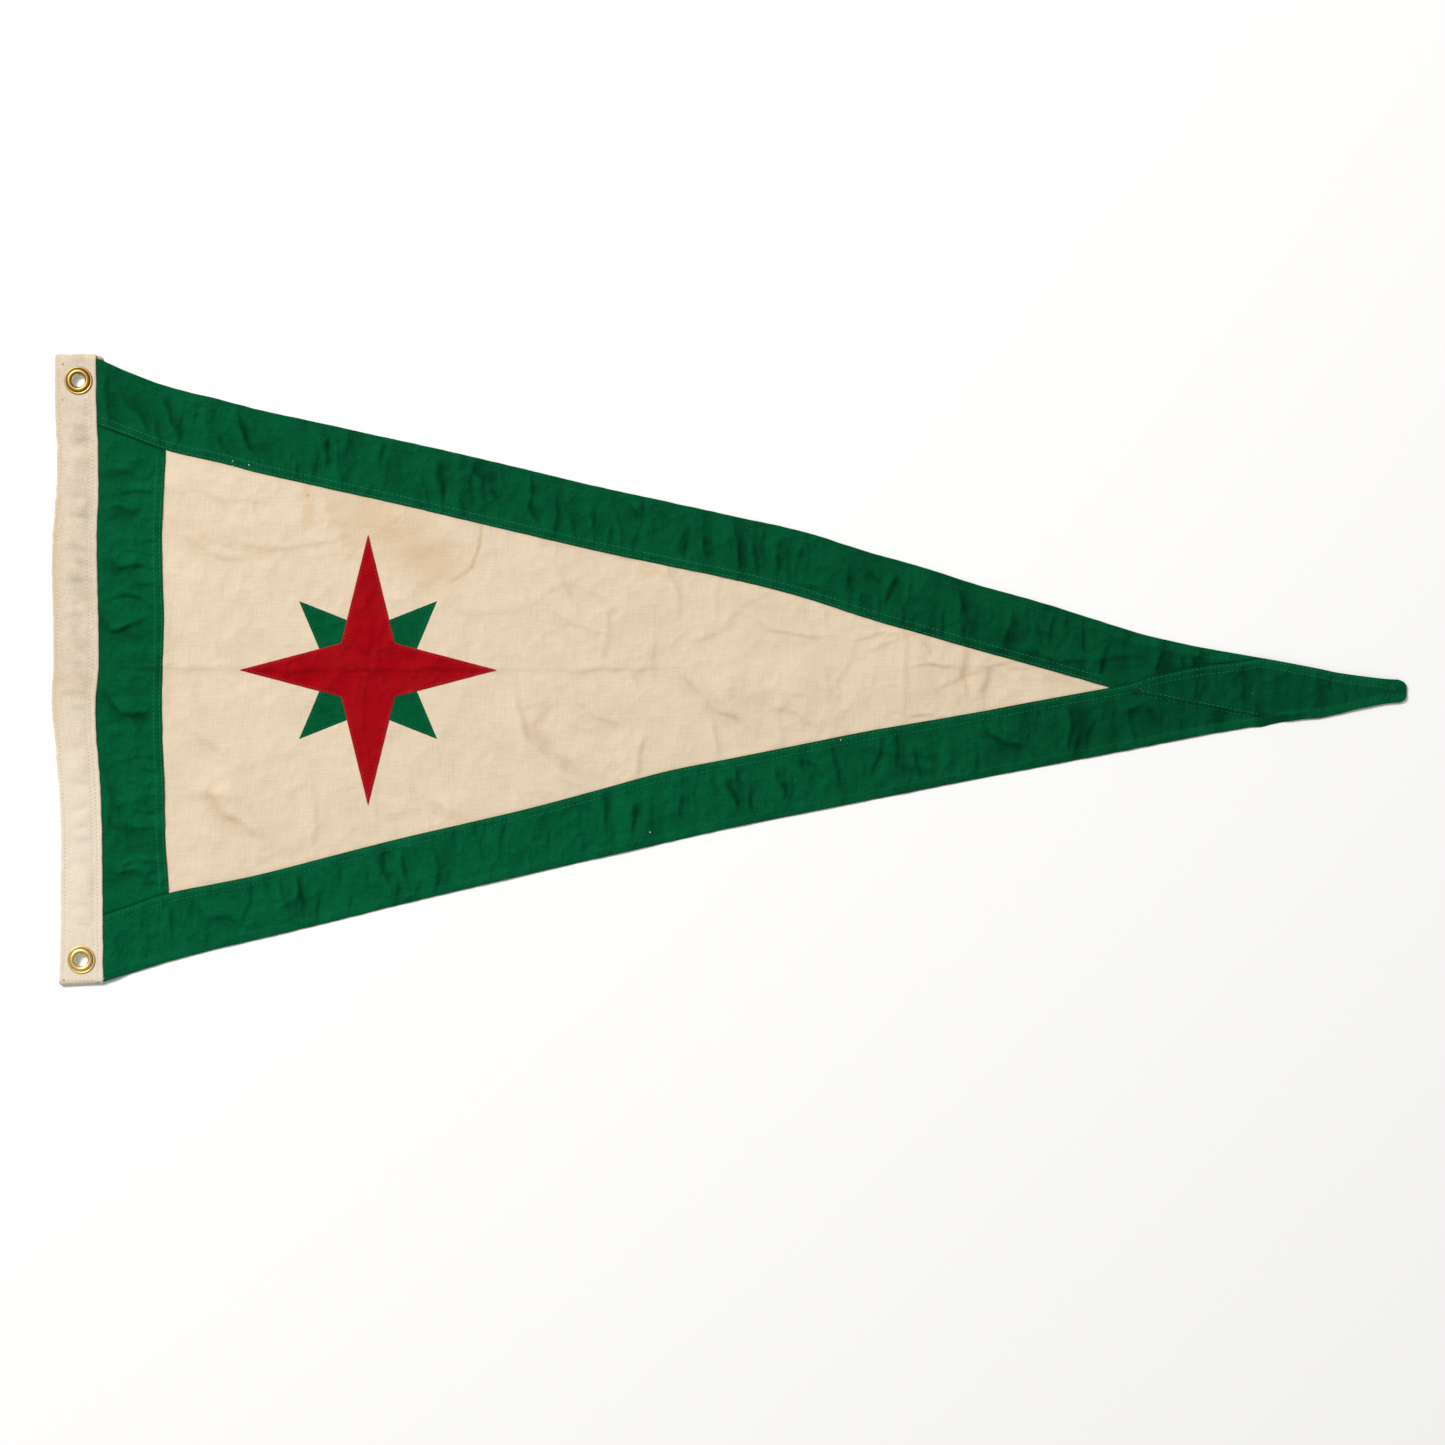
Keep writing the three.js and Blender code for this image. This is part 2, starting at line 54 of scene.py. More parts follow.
view = bpy.data.cameras.new("view")
view.sensor_width = 36
view.lens = view.sensor_width * VIEW_HEIGHT / VIEW_WIDTH
camera = bpy.data.objects.new("view", view)
camera.location = (*VIEW_MIDDLE, CLOTH_LEVEL + VIEW_HEIGHT)
bpy.context.scene.collection.objects.link(camera)
bpy.context.scene.camera = camera

# Floor and light: a pale smooth floor, one wide soft lamp high on the upper left, and an even
# pale sky for the rest.
FLOOR_HALF = 4.0
LAMP_PLACE = (-3.3, 3.3, 5.0)
LAMP_SIZE = 2.0
LAMP_POWER = 450
SKY = 0.36

scene = bpy.context.scene
scene.view_settings.view_transform = "Standard"
scene.view_settings.look = "None"
scene.world = bpy.data.worlds.new("sky")
scene.world.use_nodes = True
scene.world.node_tree.nodes["Background"].inputs["Color"].default_value = (1, 1, 1, 1)
scene.world.node_tree.nodes["Background"].inputs["Strength"].default_value = SKY

lamp = bpy.data.objects.new("lamp", bpy.data.lights.new("lamp", "AREA"))
lamp.data.size = LAMP_SIZE
lamp.data.energy = LAMP_POWER
lamp.data.color = (1.0, 0.985, 0.96)
lamp.location = LAMP_PLACE
lamp.rotation_euler = (-Vector(LAMP_PLACE)).to_track_quat("-Z", "Y").to_euler()
scene.collection.objects.link(lamp)


def feed(tree, socket, value):
    """The value set on the socket, or the output linked to it."""
    if isinstance(value, bpy.types.NodeSocket):
        tree.links.new(value, socket)
    else:
        socket.default_value = value


def node(tree, kind, inputs=None, **settings):
    """A new node, its inputs given as values or as the outputs that feed them."""
    made = tree.nodes.new(kind)
    for name, value in settings.items():
        setattr(made, name, value)
    for socket, value in (inputs or {}).items():
        feed(tree, made.inputs[socket], value)
    return made


def new_material(name, roughness, metallic=0.0, sheen=0.0):
    """A material with a bare shader, whose colour and normal are still to come."""
    material = bpy.data.materials.new(name)
    material.use_nodes = True
    shader = material.node_tree.nodes["Principled BSDF"]
    shader.inputs["Roughness"].default_value = roughness
    shader.inputs["Metallic"].default_value = metallic
    shader.inputs["Sheen Weight"].default_value = sheen
    shader.inputs["Sheen Roughness"].default_value = 0.5
    shader.inputs["Specular IOR Level"].default_value = 0.04 if metallic == 0 else 0.5
    return material, material.node_tree, shader


floor_paint, tree, shader = new_material("floor_paint", 0.7)
speckle = node(tree, "ShaderNodeTexNoise", {"Scale": 3.0})
tone = node(tree, "ShaderNodeMix", {"Factor": speckle.outputs["Fac"]}, data_type="RGBA")
tone.inputs["A"].default_value = (0.965, 0.965, 0.962, 1)
tone.inputs["B"].default_value = (0.98, 0.98, 0.98, 1)
tree.links.new(tone.outputs["Result"], shader.inputs["Base Color"])

bm = bmesh.new()
bmesh.ops.create_grid(bm, x_segments=1, y_segments=1, size=FLOOR_HALF)
floor_mesh = bpy.data.meshes.new("floor")
bm.to_mesh(floor_mesh)
bm.free()
floor = bpy.data.objects.new("floor", floor_mesh)
floor_mesh.materials.append(floor_paint)
scene.collection.objects.link(floor)

# White field: the long triangle of unbleached cotton in the middle, one thin plain-weave cloth
# that lies in its folds. Its raw edges run under the green strips, which are felled over it.
# The plan is in millimetres: x = 0 near the hoist seam, +X to the fly, +Y up the hoist.


def table(columns, *rows):
    """A table of sizes by the names of its columns."""
    return dict(zip(columns.split(), np.array(rows, float).T))


# Across the hoist: left edge of the heading, hoist seam, seam of the field
HOIST = table(
    "y heading seam field",
    (-219, -28.9, 3.1, 53), (-178, -28, 2.8, 52), (-151, -27.8, 2.5, 51.1),
    (-110, -27.8, 2.1, 48.6), (-71, -29.4, 0.7, 48), (-42, -31.7, -1.7, 46.6),
    (-13, -34.6, -2.7, 46.1), (16, -33.3, -0.4, 46.6), (50, -33.4, -0.7, 47.6),
    (80, -34.3, -1.3, 46.6), (109, -34, -1.8, 46), (144, -31.2, -0.6, 47.4),
    (176, -30.6, -0.9, 49.2), (208, -32, -2, 50), (246, -32, -2.2, 50),
)
# Across the flag: upper edge, upper and lower seams of the field, lower edge
FLAG = table(
    "x top high low bottom",
    (0, 242.5, 194, -170.5, -218.8), (20, 233.6, 186.6, -163.5, -212.6),
    (50, 222.5, 175.5, -153.1, -203.3), (90, 212.4, 166.2, -145, -192.8),
    (120, 204.6, 158.4, -138.7, -185.9), (170, 193.8, 147.1, -125.8, -173.9),
    (220, 182.8, 136, -113, -161.4), (273, 171, 123.4, -100.7, -148.8),
    (320, 159.8, 112.4, -89.6, -137.8), (370, 147.9, 100.7, -76.2, -126.3),
    (420, 137.1, 90.2, -62.6, -114.8), (470, 126.2, 79.7, -52.6, -103.5),
    (520, 115.1, 67, -42.6, -93.4), (569, 99.9, 51, -32.8, -83.7),
    (610, 88.3, 39.2, -25.8, -75.6), (652, 74.9, 27.1, -18.5, -67.3),
    (690, 64.5, 16.6, -11.3, -60.1), (749.5, 45.8, -0.3, -0.5, -48.7),
)
# Across the tip, where the lower strip lies over the end of the upper one
TIP = table(
    "x top fold bottom",
    (749.5, 45.8, -0.4, -48.7), (764, 41.3, 2.1, -45.9), (776, 37.9, 6.6, -43.5),
    (795, 33.5, 11, -39.8), (815, 29.3, 14.9, -35.8), (845, 24, 18.4, -30.7),
    (861, 21.2, 21.3, -28.1), (888, 16.2, 26, -24), (904, 13.1, 28, -22.5),
    (916, 10.5, 30, -20), (934, 7.9, 32, -15.5), (952, 5.8, 34, -12.1),
    (967, 5.1, 36, -10.7),
)
TIP_START = 749.5
# The main folds: middle, turn of the crest in degrees, length, width over the foot, height
FOLDS = table(
    "x y turn length width height",
    (27, 92, -8, 44, 26, 1.8), (26, 47, 8, 44, 24, 1.6), (26, -9, -20, 48, 28, 2.6),
    (26, -78, -78, 64, 24, 2.2), (32, -126, -24, 44, 26, 2.4), (118, 121, -4, 104, 36, 2.2),
    (272, 106, -40, 70, 34, 2.4), (100, -84, -46, 76, 38, 3), (266, -90, -36, 60, 30, 2.2),
    (316, -16, -72, 96, 34, 3.2), (352, -52, -42, 84, 34, 2.6), (388, -8, -30, 84, 34, 2.4),
    (464, 2, -42, 96, 38, 3.2), (522, -8, -28, 84, 34, 2.2), (606, 8, 88, 66, 32, 2.4),
    (652, 8, 78, 44, 26, 2), (32, 212, -52, 52, 22, 1.6), (116, 184, -58, 48, 24, 2),
    (176, 168, 84, 44, 22, 1.8), (258, 152, -84, 44, 22, 1.6), (328, 137, 84, 46, 24, 2.4),
    (480, 102, 86, 42, 22, 1.6), (590, 68, 82, 40, 22, 1.6), (646, 50, 100, 40, 22, 1.9),
    (792, 20, 60, 28, 20, 1.2), (60, -176, -80, 48, 26, 2.6), (156, -156, -78, 46, 24, 2.2),
    (222, -138, -78, 46, 26, 2.2), (400, -96, 84, 46, 24, 2.1), (474, -80, -72, 48, 28, 2.6),
    (514, -70, -72, 46, 26, 2.3), (668, -42, -30, 40, 24, 1.8), (726, -30, 88, 48, 26, 2.3),
)
# Creases by the run of their dark side, from strong to faint: the path of each, in the plan
STRONG_CREASES = (
    ((103, 194), (107, 183), (123, 167)), ((170, 186), (168, 174), (171, 161)),
    ((250, 168), (254, 138)), ((321, 154), (319, 134), (325, 119)),
    ((590, 84), (582, 60)), ((636, 73), (642, 55), (641, 42)), ((677, 58), (672, 30)),
    ((789, 28), (787, 20), (780, 11)), ((826, -15), (834, -19), (838, -25)),
    ((858, -20), (872, -22), (890, -22)), ((3, 95), (15, 88), (34, 92)),
    ((3, -2), (10, -15), (24, -22), (36, -18)), ((25, -22), (32, -33)),
    ((8, -130), (12, -137), (25, -136), (43, -146)),
    ((80, -74), (87, -88), (109, -106), (118, -110)),
    ((305, 9), (310, -11), (314, -31), (323, -44), (334, -54), (348, -63), (367, -74)),
    ((426, 14), (459, -18), (477, -28)), ((51, -160), (54, -189)),
    ((146, -139), (151, -172)), ((207, -122), (215, -153)), ((397, -81), (393, -110)),
    ((461, -63), (470, -83), (476, -94)), ((500, -58), (508, -86)),
    ((655, -25), (660, -35), (673, -42), (686, -44)), ((716, -13), (720, -28), (718, -46)),
)
SOFT_CREASES = (
    ((15, 219), (39, 188)), ((46, 215), (60, 182)), ((87, 185), (98, 172)),
    ((5, 233), (6, 197)), ((274, 159), (285, 155), (284, 138)), ((367, 136), (366, 112)),
    ((393, 134), (403, 123)), ((436, 122), (430, 101)), ((447, 111), (450, 94)),
    ((475, 116), (473, 87)), ((484, 114), (487, 82)), ((503, 111), (502, 82)),
    ((520, 105), (515, 82)), ((556, 93), (551, 67)), ((569, 87), (578, 78)),
    ((601, 79), (598, 60)), ((681, 27), (706, 20), (734, 18), (761, 22), (778, 24)),
    ((3, 160), (28, 158)), ((7, 133), (32, 129)), ((3, 60), (8, 43), (15, 41), (36, 51)),
    ((4, -54), (10, -83), (7, -105), (19, -106), (23, -123)),
    ((57, 115), (80, 99), (100, 94), (114, 96)), ((105, 104), (136, 101), (171, 108), (186, 113)),
    ((205, -67), (205, -94), (208, -99), (225, -106)), ((280, -30), (292, -38), (301, -52)),
    ((229, -75), (244, -83), (260, -94)), ((353, -11), (373, -24), (389, -31)),
    ((403, -36), (398, -69)), ((455, -20), (459, -53)),
    ((591, 45), (598, 33)), ((608, 36), (616, 24)), ((641, 28), (639, 7), (646, -8)),
    ((71, -158), (80, -171), (109, -173)), ((132, -142), (143, -173)),
    ((222, -121), (231, -150)), ((432, -79), (430, -97)), ((515, -54), (530, -58), (537, -69)),
    ((757, -18), (773, -14), (782, -17), (786, -31)), ((810, 22), (811, 15)),
    ((4, 13), (60, 14), (120, 12), (250, 13), (342, 12)),
)
FAINT_CREASES = (
    ((215, 169), (212, 149)), ((287, 159), (296, 130)), ((350, 125), (351, 114)),
    ((428, 104), (431, 96)), ((515, 78), (538, 70)), ((78, 45), (100, 9)),
    ((159, 124), (189, 119), (216, 117), (232, 101), (244, 89)),
    ((159, -67), (161, -94), (159, -121)), ((205, 112), (202, 60), (196, -30), (205, -90)),
    ((342, 12), (387, 13), (425, 14)), ((597, 43), (598, 10), (597, -26)),
    ((421, 91), (428, 75), (430, 48)), ((366, 102), (420, 87)), ((495, -13), (515, -18), (535, -33)),
    ((612, 19), (637, 14)), ((658, 15), (655, -11)), ((599, -20), (621, -21)),
    ((556, -44), (585, -49), (621, -52)), ((585, -56), (621, -63)), ((648, -47), (650, -63)),
    ((812, 9), (812, -19)), ((846, 15), (848, -15)),
    ((690, 48), (702, 22)), ((720, 40), (735, 22)), ((330, 60), (352, 44), (380, 38)),
    ((250, 60), (280, 52), (312, 58)), ((70, 150), (92, 138), (130, 136)),
    ((480, 52), (505, 40), (540, 36)), ((60, -30), (82, -42), (100, -60)),
)
# Width of the dark side, drop across it and how much painted shade it gets, by the kind of crease
CREASE_KINDS = (
    (STRONG_CREASES, 1.9, 1.45, 1.0), (SOFT_CREASES, 1.7, 1.05, 0.80),
    (FAINT_CREASES, 1.7, 0.65, 0.50),
)
CLOTH_SOIL = 0.16  # all over
FOLD_SHARE = 0.55  # the folds have gone down since the flag was laid out
# The side of a crease towards the lamp: it stands up, and the crease's painted shade goes on the
# other side.
LIGHT_SIDE = (-0.66, 0.75)  # the side of a crease that stands up

# The heading holds the cloths up beside it, and they come down from it on an even slope
SEAT = 1.3  # inside the heading, over the middle of the hoist
END_LIFT = 0.9  # and more than that over the flanges at its ends
UPPER_RAMP = (180, 212)
LOWER_RAMP = (-153, -185)
PLATEAU = 5.7
SLOPE = 16.5
STAR = (199.0, 12.6)  # middle of the sewn star, which lies flat
STAR_FLAT = (104.0, 122.0)

LAYER = 0.36  # thickness of one cotton cloth
FIELD_LEVEL = 0.32  # middle of the field's cloth over the surface
FIELD_UNDER = 6.0  # how far its edges run on under the strips
FIELD_RIGHT = 751.5
FIELD_GRID = (350, 130)

lowest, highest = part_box("eyelet_upper")
UPPER_EYELET = (-14.7, 226.5)
PLAN_TO_ROW = Matrix.Translation((
    (lowest.x + highest.x) / 2 - UPPER_EYELET[0] / 1000,
    (lowest.y + highest.y) / 2 - UPPER_EYELET[1] / 1000,
    0,
)) @ Matrix.Scale(0.001, 4)


def read(sizes, key, column, places):
    """A column of a table at places between its rows, on a smooth curve through them."""
    keys, values = sizes[key], sizes[column]
    last = len(keys) - 1
    i = np.clip(np.searchsorted(keys, places, side="right") - 1, 0, last - 1)
    before, after = np.maximum(i - 1, 0), np.minimum(i + 2, last)
    span = keys[i + 1] - keys[i]
    t = np.clip((places - keys[i]) / span, 0, 1)
    leaving = (values[i + 1] - values[before]) / (keys[i + 1] - keys[before]) * span
    arriving = (values[after] - values[i]) / (keys[after] - keys[i]) * span
    ease = t * t * (3 - 2 * t)
    bend = t * (1 - t) * (leaving * (1 - t) - arriving * t)
    return values[i] + (values[i + 1] - values[i]) * ease + bend


def hoist_edge(column):
    return lambda y: read(HOIST, "y", column, y)


def flag_edge(column):
    return lambda x: read(FLAG, "x", column, x)


def outer_edge(column):
    """The upper or lower edge of the flag, along the strips and the tip."""
    return lambda x: np.where(
        x < TIP_START, read(FLAG, "x", column, x), read(TIP, "x", column, x)
    )


def field_low(x):
    return flag_edge("low")(x) - FIELD_UNDER


def field_high(x):
    return flag_edge("high")(x) + FIELD_UNDER


def in_from_seams(x, y):
    """Distance in from the nearer of the field's long seams."""
    return np.minimum(y - flag_edge("low")(x), flag_edge("high")(x) - y)


def smooth(value, start, end):
    t = np.clip((value - start) / (end - start), 0, 1)
    return t * t * (3 - 2 * t)


def ripple(x, y, size, seed=0.0):
    """Even seeded unevenness from -1 to 1, in lumps of about that size."""
    lumps = [noise.noise((a / size, b / size, seed)) for a, b in zip(x.flat, y.flat)]
    return np.array(lumps).reshape(x.shape)


def end_lift(y):
    upper = (y - UPPER_RAMP[0]) / (UPPER_RAMP[1] - UPPER_RAMP[0])
    lower = (y - LOWER_RAMP[0]) / (LOWER_RAMP[1] - LOWER_RAMP[0])
    return END_LIFT * np.clip(np.maximum(upper, lower), 0, 1)


def fold_heights(x, y):
    """The big folds, each a round crest that dies out towards its ends."""
    total = np.zeros_like(x)
    for n in range(len(FOLDS["x"])):
        angle = math.radians(FOLDS["turn"][n])
        dx, dy = x - FOLDS["x"][n], y - FOLDS["y"][n]
        along = (dx * math.cos(angle) + dy * math.sin(angle)) / FOLDS["length"][n]
        across = (dy * math.cos(angle) - dx * math.sin(angle)) / FOLDS["width"][n]
        inside = (np.abs(along) < 0.6) & (np.abs(across) < 0.6)
        crest = np.cos(np.pi * across / 1.2) ** 2 * np.cos(np.pi * along / 1.2) ** 2
        total += np.where(inside, FOLD_SHARE * FOLDS["height"][n] * crest, 0)
    return total


def off_path(x, y, path):
    """Distance from a path, more than 0 on its lit side, and the share along it."""
    steps = [math.dist(a, b) for a, b in zip(path, path[1:])]
    (ax, ay), (bx, by) = path[0], path[-1]
    turn = 1 if (by - ay) * -LIGHT_SIDE[0] + (bx - ax) * LIGHT_SIDE[1] > 0 else -1
    best, side, share = np.full(x.shape, 1e9), np.zeros(x.shape), np.zeros(x.shape)
    done = 0.0
    for (ax, ay), (bx, by), step in zip(path, path[1:], steps):
        dx, dy = (bx - ax) / step, (by - ay) / step
        along = np.clip((x - ax) * dx + (y - ay) * dy, 0, step)
        away = np.hypot(x - ax - along * dx, y - ay - along * dy)
        nearer = away < best
        left = (y - ay) * dx - (x - ax) * dy
        best = np.where(nearer, away, best)
        side = np.where(nearer, np.where(left > 0, turn, -turn), side)
        share = np.where(nearer, (done + along) / sum(steps), share)
        done += step
    return best * side, share


def odd_creases(count=64):
    """Faint creases that lie at random over the field: a path, width, drop and shade of each."""
    chance = random.Random(5)
    made = []
    for _ in range(count):
        x = chance.uniform(60, 690)
        y = chance.uniform(-0.9, 0.9) * (745 - x) * 0.22 + 12
        angle = math.radians(chance.choice((-38, -52, 84, 8, 35)) + chance.uniform(-14, 14))
        half = chance.uniform(9, 34)
        dx, dy = half * math.cos(angle), half * math.sin(angle)
        bend = chance.uniform(-0.16, 0.16)
        path = ((x - dx, y - dy), (x + bend * dy, y - bend * dx), (x + dx, y + dy))
        drop = chance.uniform(0.20, 0.60)
        made.append((path, chance.uniform(1.2, 2.2), drop, 0.6 * drop))
    return made


ALL_CREASES = [(path, *size) for paths, *size in CREASE_KINDS for path in paths] + odd_creases()


def creases(x, y, drawn=ALL_CREASES, stray=2.6, halo=0.5):
    """Height of the small creases at each place, and how much dirt and painted shade lie in them;
    below none is a painted highlight on their lit side.
    """
    height, soil_and_shade = np.zeros_like(x), np.zeros_like(x)
    wander = stray * ripple(x, y, 14.0, 4.0)
    uneven = 0.5 + 0.5 * smooth(ripple(x, y, 8.0, 10.0), -0.35, 0.3)
    for path, width, drop, shade in drawn:
        (left, low), (right, high) = np.min(path, 0), np.max(path, 0)
        reach = 11 * width
        near = (x > left - reach) & (x < right + reach) & (y > low - reach) & (y < high + reach)
        if not near.any():
            continue
        away, share = off_path(x[near] + wander[near], y[near] + wander[near], path)
        ends = smooth(share, -0.08, 0.28) * (1 - smooth(share, 0.72, 1.08))
        q = away / width
        height[near] += drop * ends * np.tanh(q) * np.exp(-np.abs(q) / 3.2)
        # Painted shade along the side away from the lamp, with a wider halo, less a painted highlight
        # on the side towards it.
        line = 0.55 * np.exp(-((q + 0.2) ** 2)) + halo * np.exp(-((q + 1.9) / 3.4) ** 2)
        line -= 0.40 * np.exp(-(((q - 1.6) / 1.0) ** 2))
        soil_and_shade[near] += shade * ends * line * uneven[near]
    return height, np.clip(soil_and_shade, -0.5, 1)


def wrinkles(x, y, size, seed):
    """Thin ridges that wander as crumples in a cloth do, from 0 to 1."""
    return np.clip(1 - 1.7 * np.abs(ripple(x, y, size, seed)), 0, 1) ** 3


def free_of_heading(x, y):
    return smooth(x - hoist_edge("seam")(y) - PLATEAU, 0, SLOPE)


def relief(x, y):
    """Height of the underside of the cloths, and the soil and painted shade in their creases."""
    free = free_of_heading(x, y)
    flat = smooth(np.hypot(x - STAR[0], y - STAR[1]), *STAR_FLAT)
    height, soil_and_shade = creases(x, y)
    easy = 0.5 + 0.5 * flat
    small = 0.40 * ripple(x, y, 46.0, 1.0) + 0.16 * ripple(x, y, 15.0, 2.0)
    zones = 0.3 + 0.7 * smooth(ripple(x, y, 70.0, 5.0), -0.25, 0.35)
    small += zones * (0.34 * wrinkles(x, y, 36.0, 3.0) + 0.12 * wrinkles(x, y, 17.0, 6.0))
    low_down = free * flat * fold_heights(x, y) + (0.25 + 0.75 * free) * (easy * height + small + 0.3)
    # An even soil all over, with the creases' painted shade and highlights over it, weaker near the
    # star.
    soil_and_shade = CLOTH_SOIL + soil_and_shade * (0.4 + 0.6 * flat)
    return (SEAT + end_lift(y)) * (1 - free) + np.maximum(low_down, 0), soil_and_shade


def grid_of_cloth(columns, rows, place):
    """A grid whose points go where place(u, v) puts them, and the soil and painted shade at each."""
    bm = bmesh.new()
    bmesh.ops.create_grid(bm, x_segments=columns, y_segments=rows, size=0.5)
    flat = np.array([v.co[:2] for v in bm.verts]) + 0.5
    x, y, z, soil_and_shade = place(flat[:, 0], flat[:, 1])
    layer = bm.verts.layers.float.new("soil_and_shade")
    for vertex, *spot, dirt_and_shade in zip(bm.verts, x, y, z, soil_and_shade):
        vertex.co = spot
        vertex[layer] = dirt_and_shade
    return bm


def finish_mesh(name, bm, material):
    """The bmesh as an object of the flag, in its place in the row's frame."""
    bm.transform(PLAN_TO_ROW)
    mesh = bpy.data.meshes.new(name)
    bm.to_mesh(mesh)
    bm.free()
    mesh.materials.append(material)
    mesh.polygons.foreach_set("use_smooth", [True] * len(mesh.polygons))
    piece = bpy.data.objects.new(name, mesh)
    scene.collection.objects.link(piece)
    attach(piece, "root")
    return piece


def thicken(piece, thickness):
    """The thickness of the cloth, half of it on each side."""
    solidify = piece.modifiers.new("thickness", "SOLIDIFY")
    solidify.thickness = thickness / 1000
    solidify.offset = 0


def group_sockets(group, inputs, outputs):
    for name, kind in inputs:
        group.interface.new_socket(name, in_out="INPUT", socket_type="NodeSocket" + kind)
    for name, kind in outputs:
        group.interface.new_socket(name, in_out="OUTPUT", socket_type="NodeSocket" + kind)
    return node(group, "NodeGroupInput").outputs, node(group, "NodeGroupOutput").inputs


def math_node(group, operation, a, b=0.0, c=0.0):
    return node(group, "ShaderNodeMath", {0: a, 1: b, 2: c}, operation=operation).outputs[0]


def vector_node(group, operation, a, b=(0, 0, 0)):
    return node(group, "ShaderNodeVectorMath", {0: a, 1: b}, operation=operation).outputs[0]


def resized(group, vector, factor):
    return node(group, "ShaderNodeVectorMath", {0: vector, "Scale": factor},
                operation="SCALE").outputs[0]


def ranged(tree, value, start, end, low=0.0, high=1.0, **settings):
    """The value carried over from one range to another."""
    return node(tree, "ShaderNodeMapRange", {
        "Value": value, "From Min": start, "From Max": end, "To Min": low, "To Max": high,
    }, **settings).outputs["Result"]


# Plain weave: the threads themselves, and the slubs, thick and thin runs along them both ways
weave = bpy.data.node_groups.new("plain_weave", "ShaderNodeTree")
given, made = group_sockets(
    weave,
    (("Place", "Vector"), ("Pitch", "Float"), ("Slub Width", "Float"), ("Slub Length", "Float")),
    (("Height", "Float"), ("Tone", "Float")),
)
turns = math_node(weave, "DIVIDE", 2 * math.pi, given["Pitch"])
axes = node(weave, "ShaderNodeSeparateXYZ", {0: resized(weave, given["Place"], turns)})
over = math_node(weave, "MULTIPLY", math_node(weave, "SINE", axes.outputs["X"]),
                 math_node(weave, "SINE", axes.outputs["Y"]))
thin = math_node(weave, "DIVIDE", 1.0, given["Slub Width"])
long = math_node(weave, "DIVIDE", 1.0, given["Slub Length"])
slubs = []
for first, second in ((long, thin), (thin, long)):
    scale = node(weave, "ShaderNodeCombineXYZ", {"X": first, "Y": second, "Z": 1.0}).outputs[0]
    place = vector_node(weave, "MULTIPLY", given["Place"], scale)
    slubs.append(node(weave, "ShaderNodeTexNoise", {"Vector": place, "Scale": 1.0, "Detail": 2.0}))
tone = math_node(weave, "ADD", slubs[0].outputs["Fac"], slubs[1].outputs["Fac"])
tone = math_node(weave, "MULTIPLY_ADD", tone, 2.0, -1.5)
weave.links.new(tone, made["Tone"])
weave.links.new(math_node(weave, "MULTIPLY_ADD", over, 0.22, tone), made["Height"])

# Mottling: slow changes of colour, from wear, washing and age, in patches with soft edges
mottling = bpy.data.node_groups.new("mottling", "ShaderNodeTree")
given, made = group_sockets(
    mottling, (("Place", "Vector"), ("Size", "Float"), ("Contrast", "Float")), (("Mask", "Float"),)
)
scale = math_node(mottling, "DIVIDE", 1.0, given["Size"])
clouds = node(mottling, "ShaderNodeTexNoise",
              {"Vector": given["Place"], "Scale": scale, "Detail": 4.0, "Roughness": 0.55})
centred = math_node(mottling, "SUBTRACT", clouds.outputs["Fac"], 0.5)
mask = node(mottling, "ShaderNodeMath", {0: centred, 1: given["Contrast"], 2: 0.5},
            operation="MULTIPLY_ADD", use_clamp=True)
mottling.links.new(mask.outputs[0], made["Mask"])

# Crumple: the flat facets and crisp small creases of a cloth that has been balled up, in some
# parts more than in others
crumple = bpy.data.node_groups.new("crumple", "ShaderNodeTree")
given, made = group_sockets(
    crumple, (("Place", "Vector"), ("Size", "Float")), (("Height", "Float"),)
)
scale = math_node(crumple, "DIVIDE", 1.0, given["Size"])
flat_place = vector_node(crumple, "MULTIPLY", given["Place"], (1, 1, 0))
bends = node(crumple, "ShaderNodeTexNoise", {"Vector": flat_place, "Scale": scale, "Detail": 2.0})
bend = vector_node(crumple, "SUBTRACT", bends.outputs["Color"], (0.5, 0.5, 0.5))
place = vector_node(crumple, "ADD", resized(crumple, flat_place, scale),
                    resized(crumple, bend, 0.9))
facets = node(crumple, "ShaderNodeTexVoronoi", {"Vector": place, "Scale": 1.0, "Randomness": 1.0})
parts = node(crumple, "ShaderNodeTexNoise", {
    "Vector": flat_place, "Scale": math_node(crumple, "MULTIPLY", scale, 0.45), "Detail": 1.0,
})
amount = ranged(crumple, parts.outputs["Fac"], 0.38, 0.62, 0.25, 1.0)
height = math_node(crumple, "MULTIPLY", facets.outputs["Distance"], amount)
crumple.links.new(height, made["Height"])

# Stain: a soft ragged mark along a line from one point to another
stain = bpy.data.node_groups.new("stain", "ShaderNodeTree")
given, made = group_sockets(
    stain,
    (("Place", "Vector"), ("Start", "Vector"), ("End", "Vector"), ("Half Width", "Float"),
     ("Ragged", "Float")),
    (("Mask", "Float"),),
)
cloud = node(stain, "ShaderNodeTexNoise", {"Vector": given["Place"], "Scale": 160.0, "Detail": 3.0})
shift = vector_node(stain, "SUBTRACT", cloud.outputs["Color"], (0.5, 0.5, 0.5))
moved = vector_node(stain, "ADD", given["Place"], resized(stain, shift, given["Ragged"]))
moved = vector_node(stain, "MULTIPLY", moved, (1, 1, 0))
run = vector_node(stain, "SUBTRACT", given["End"], given["Start"])
from_start = vector_node(stain, "SUBTRACT", moved, given["Start"])
dot = node(stain, "ShaderNodeVectorMath", {0: from_start, 1: run}, operation="DOT_PRODUCT")
square = node(stain, "ShaderNodeVectorMath", {0: run, 1: run}, operation="DOT_PRODUCT")
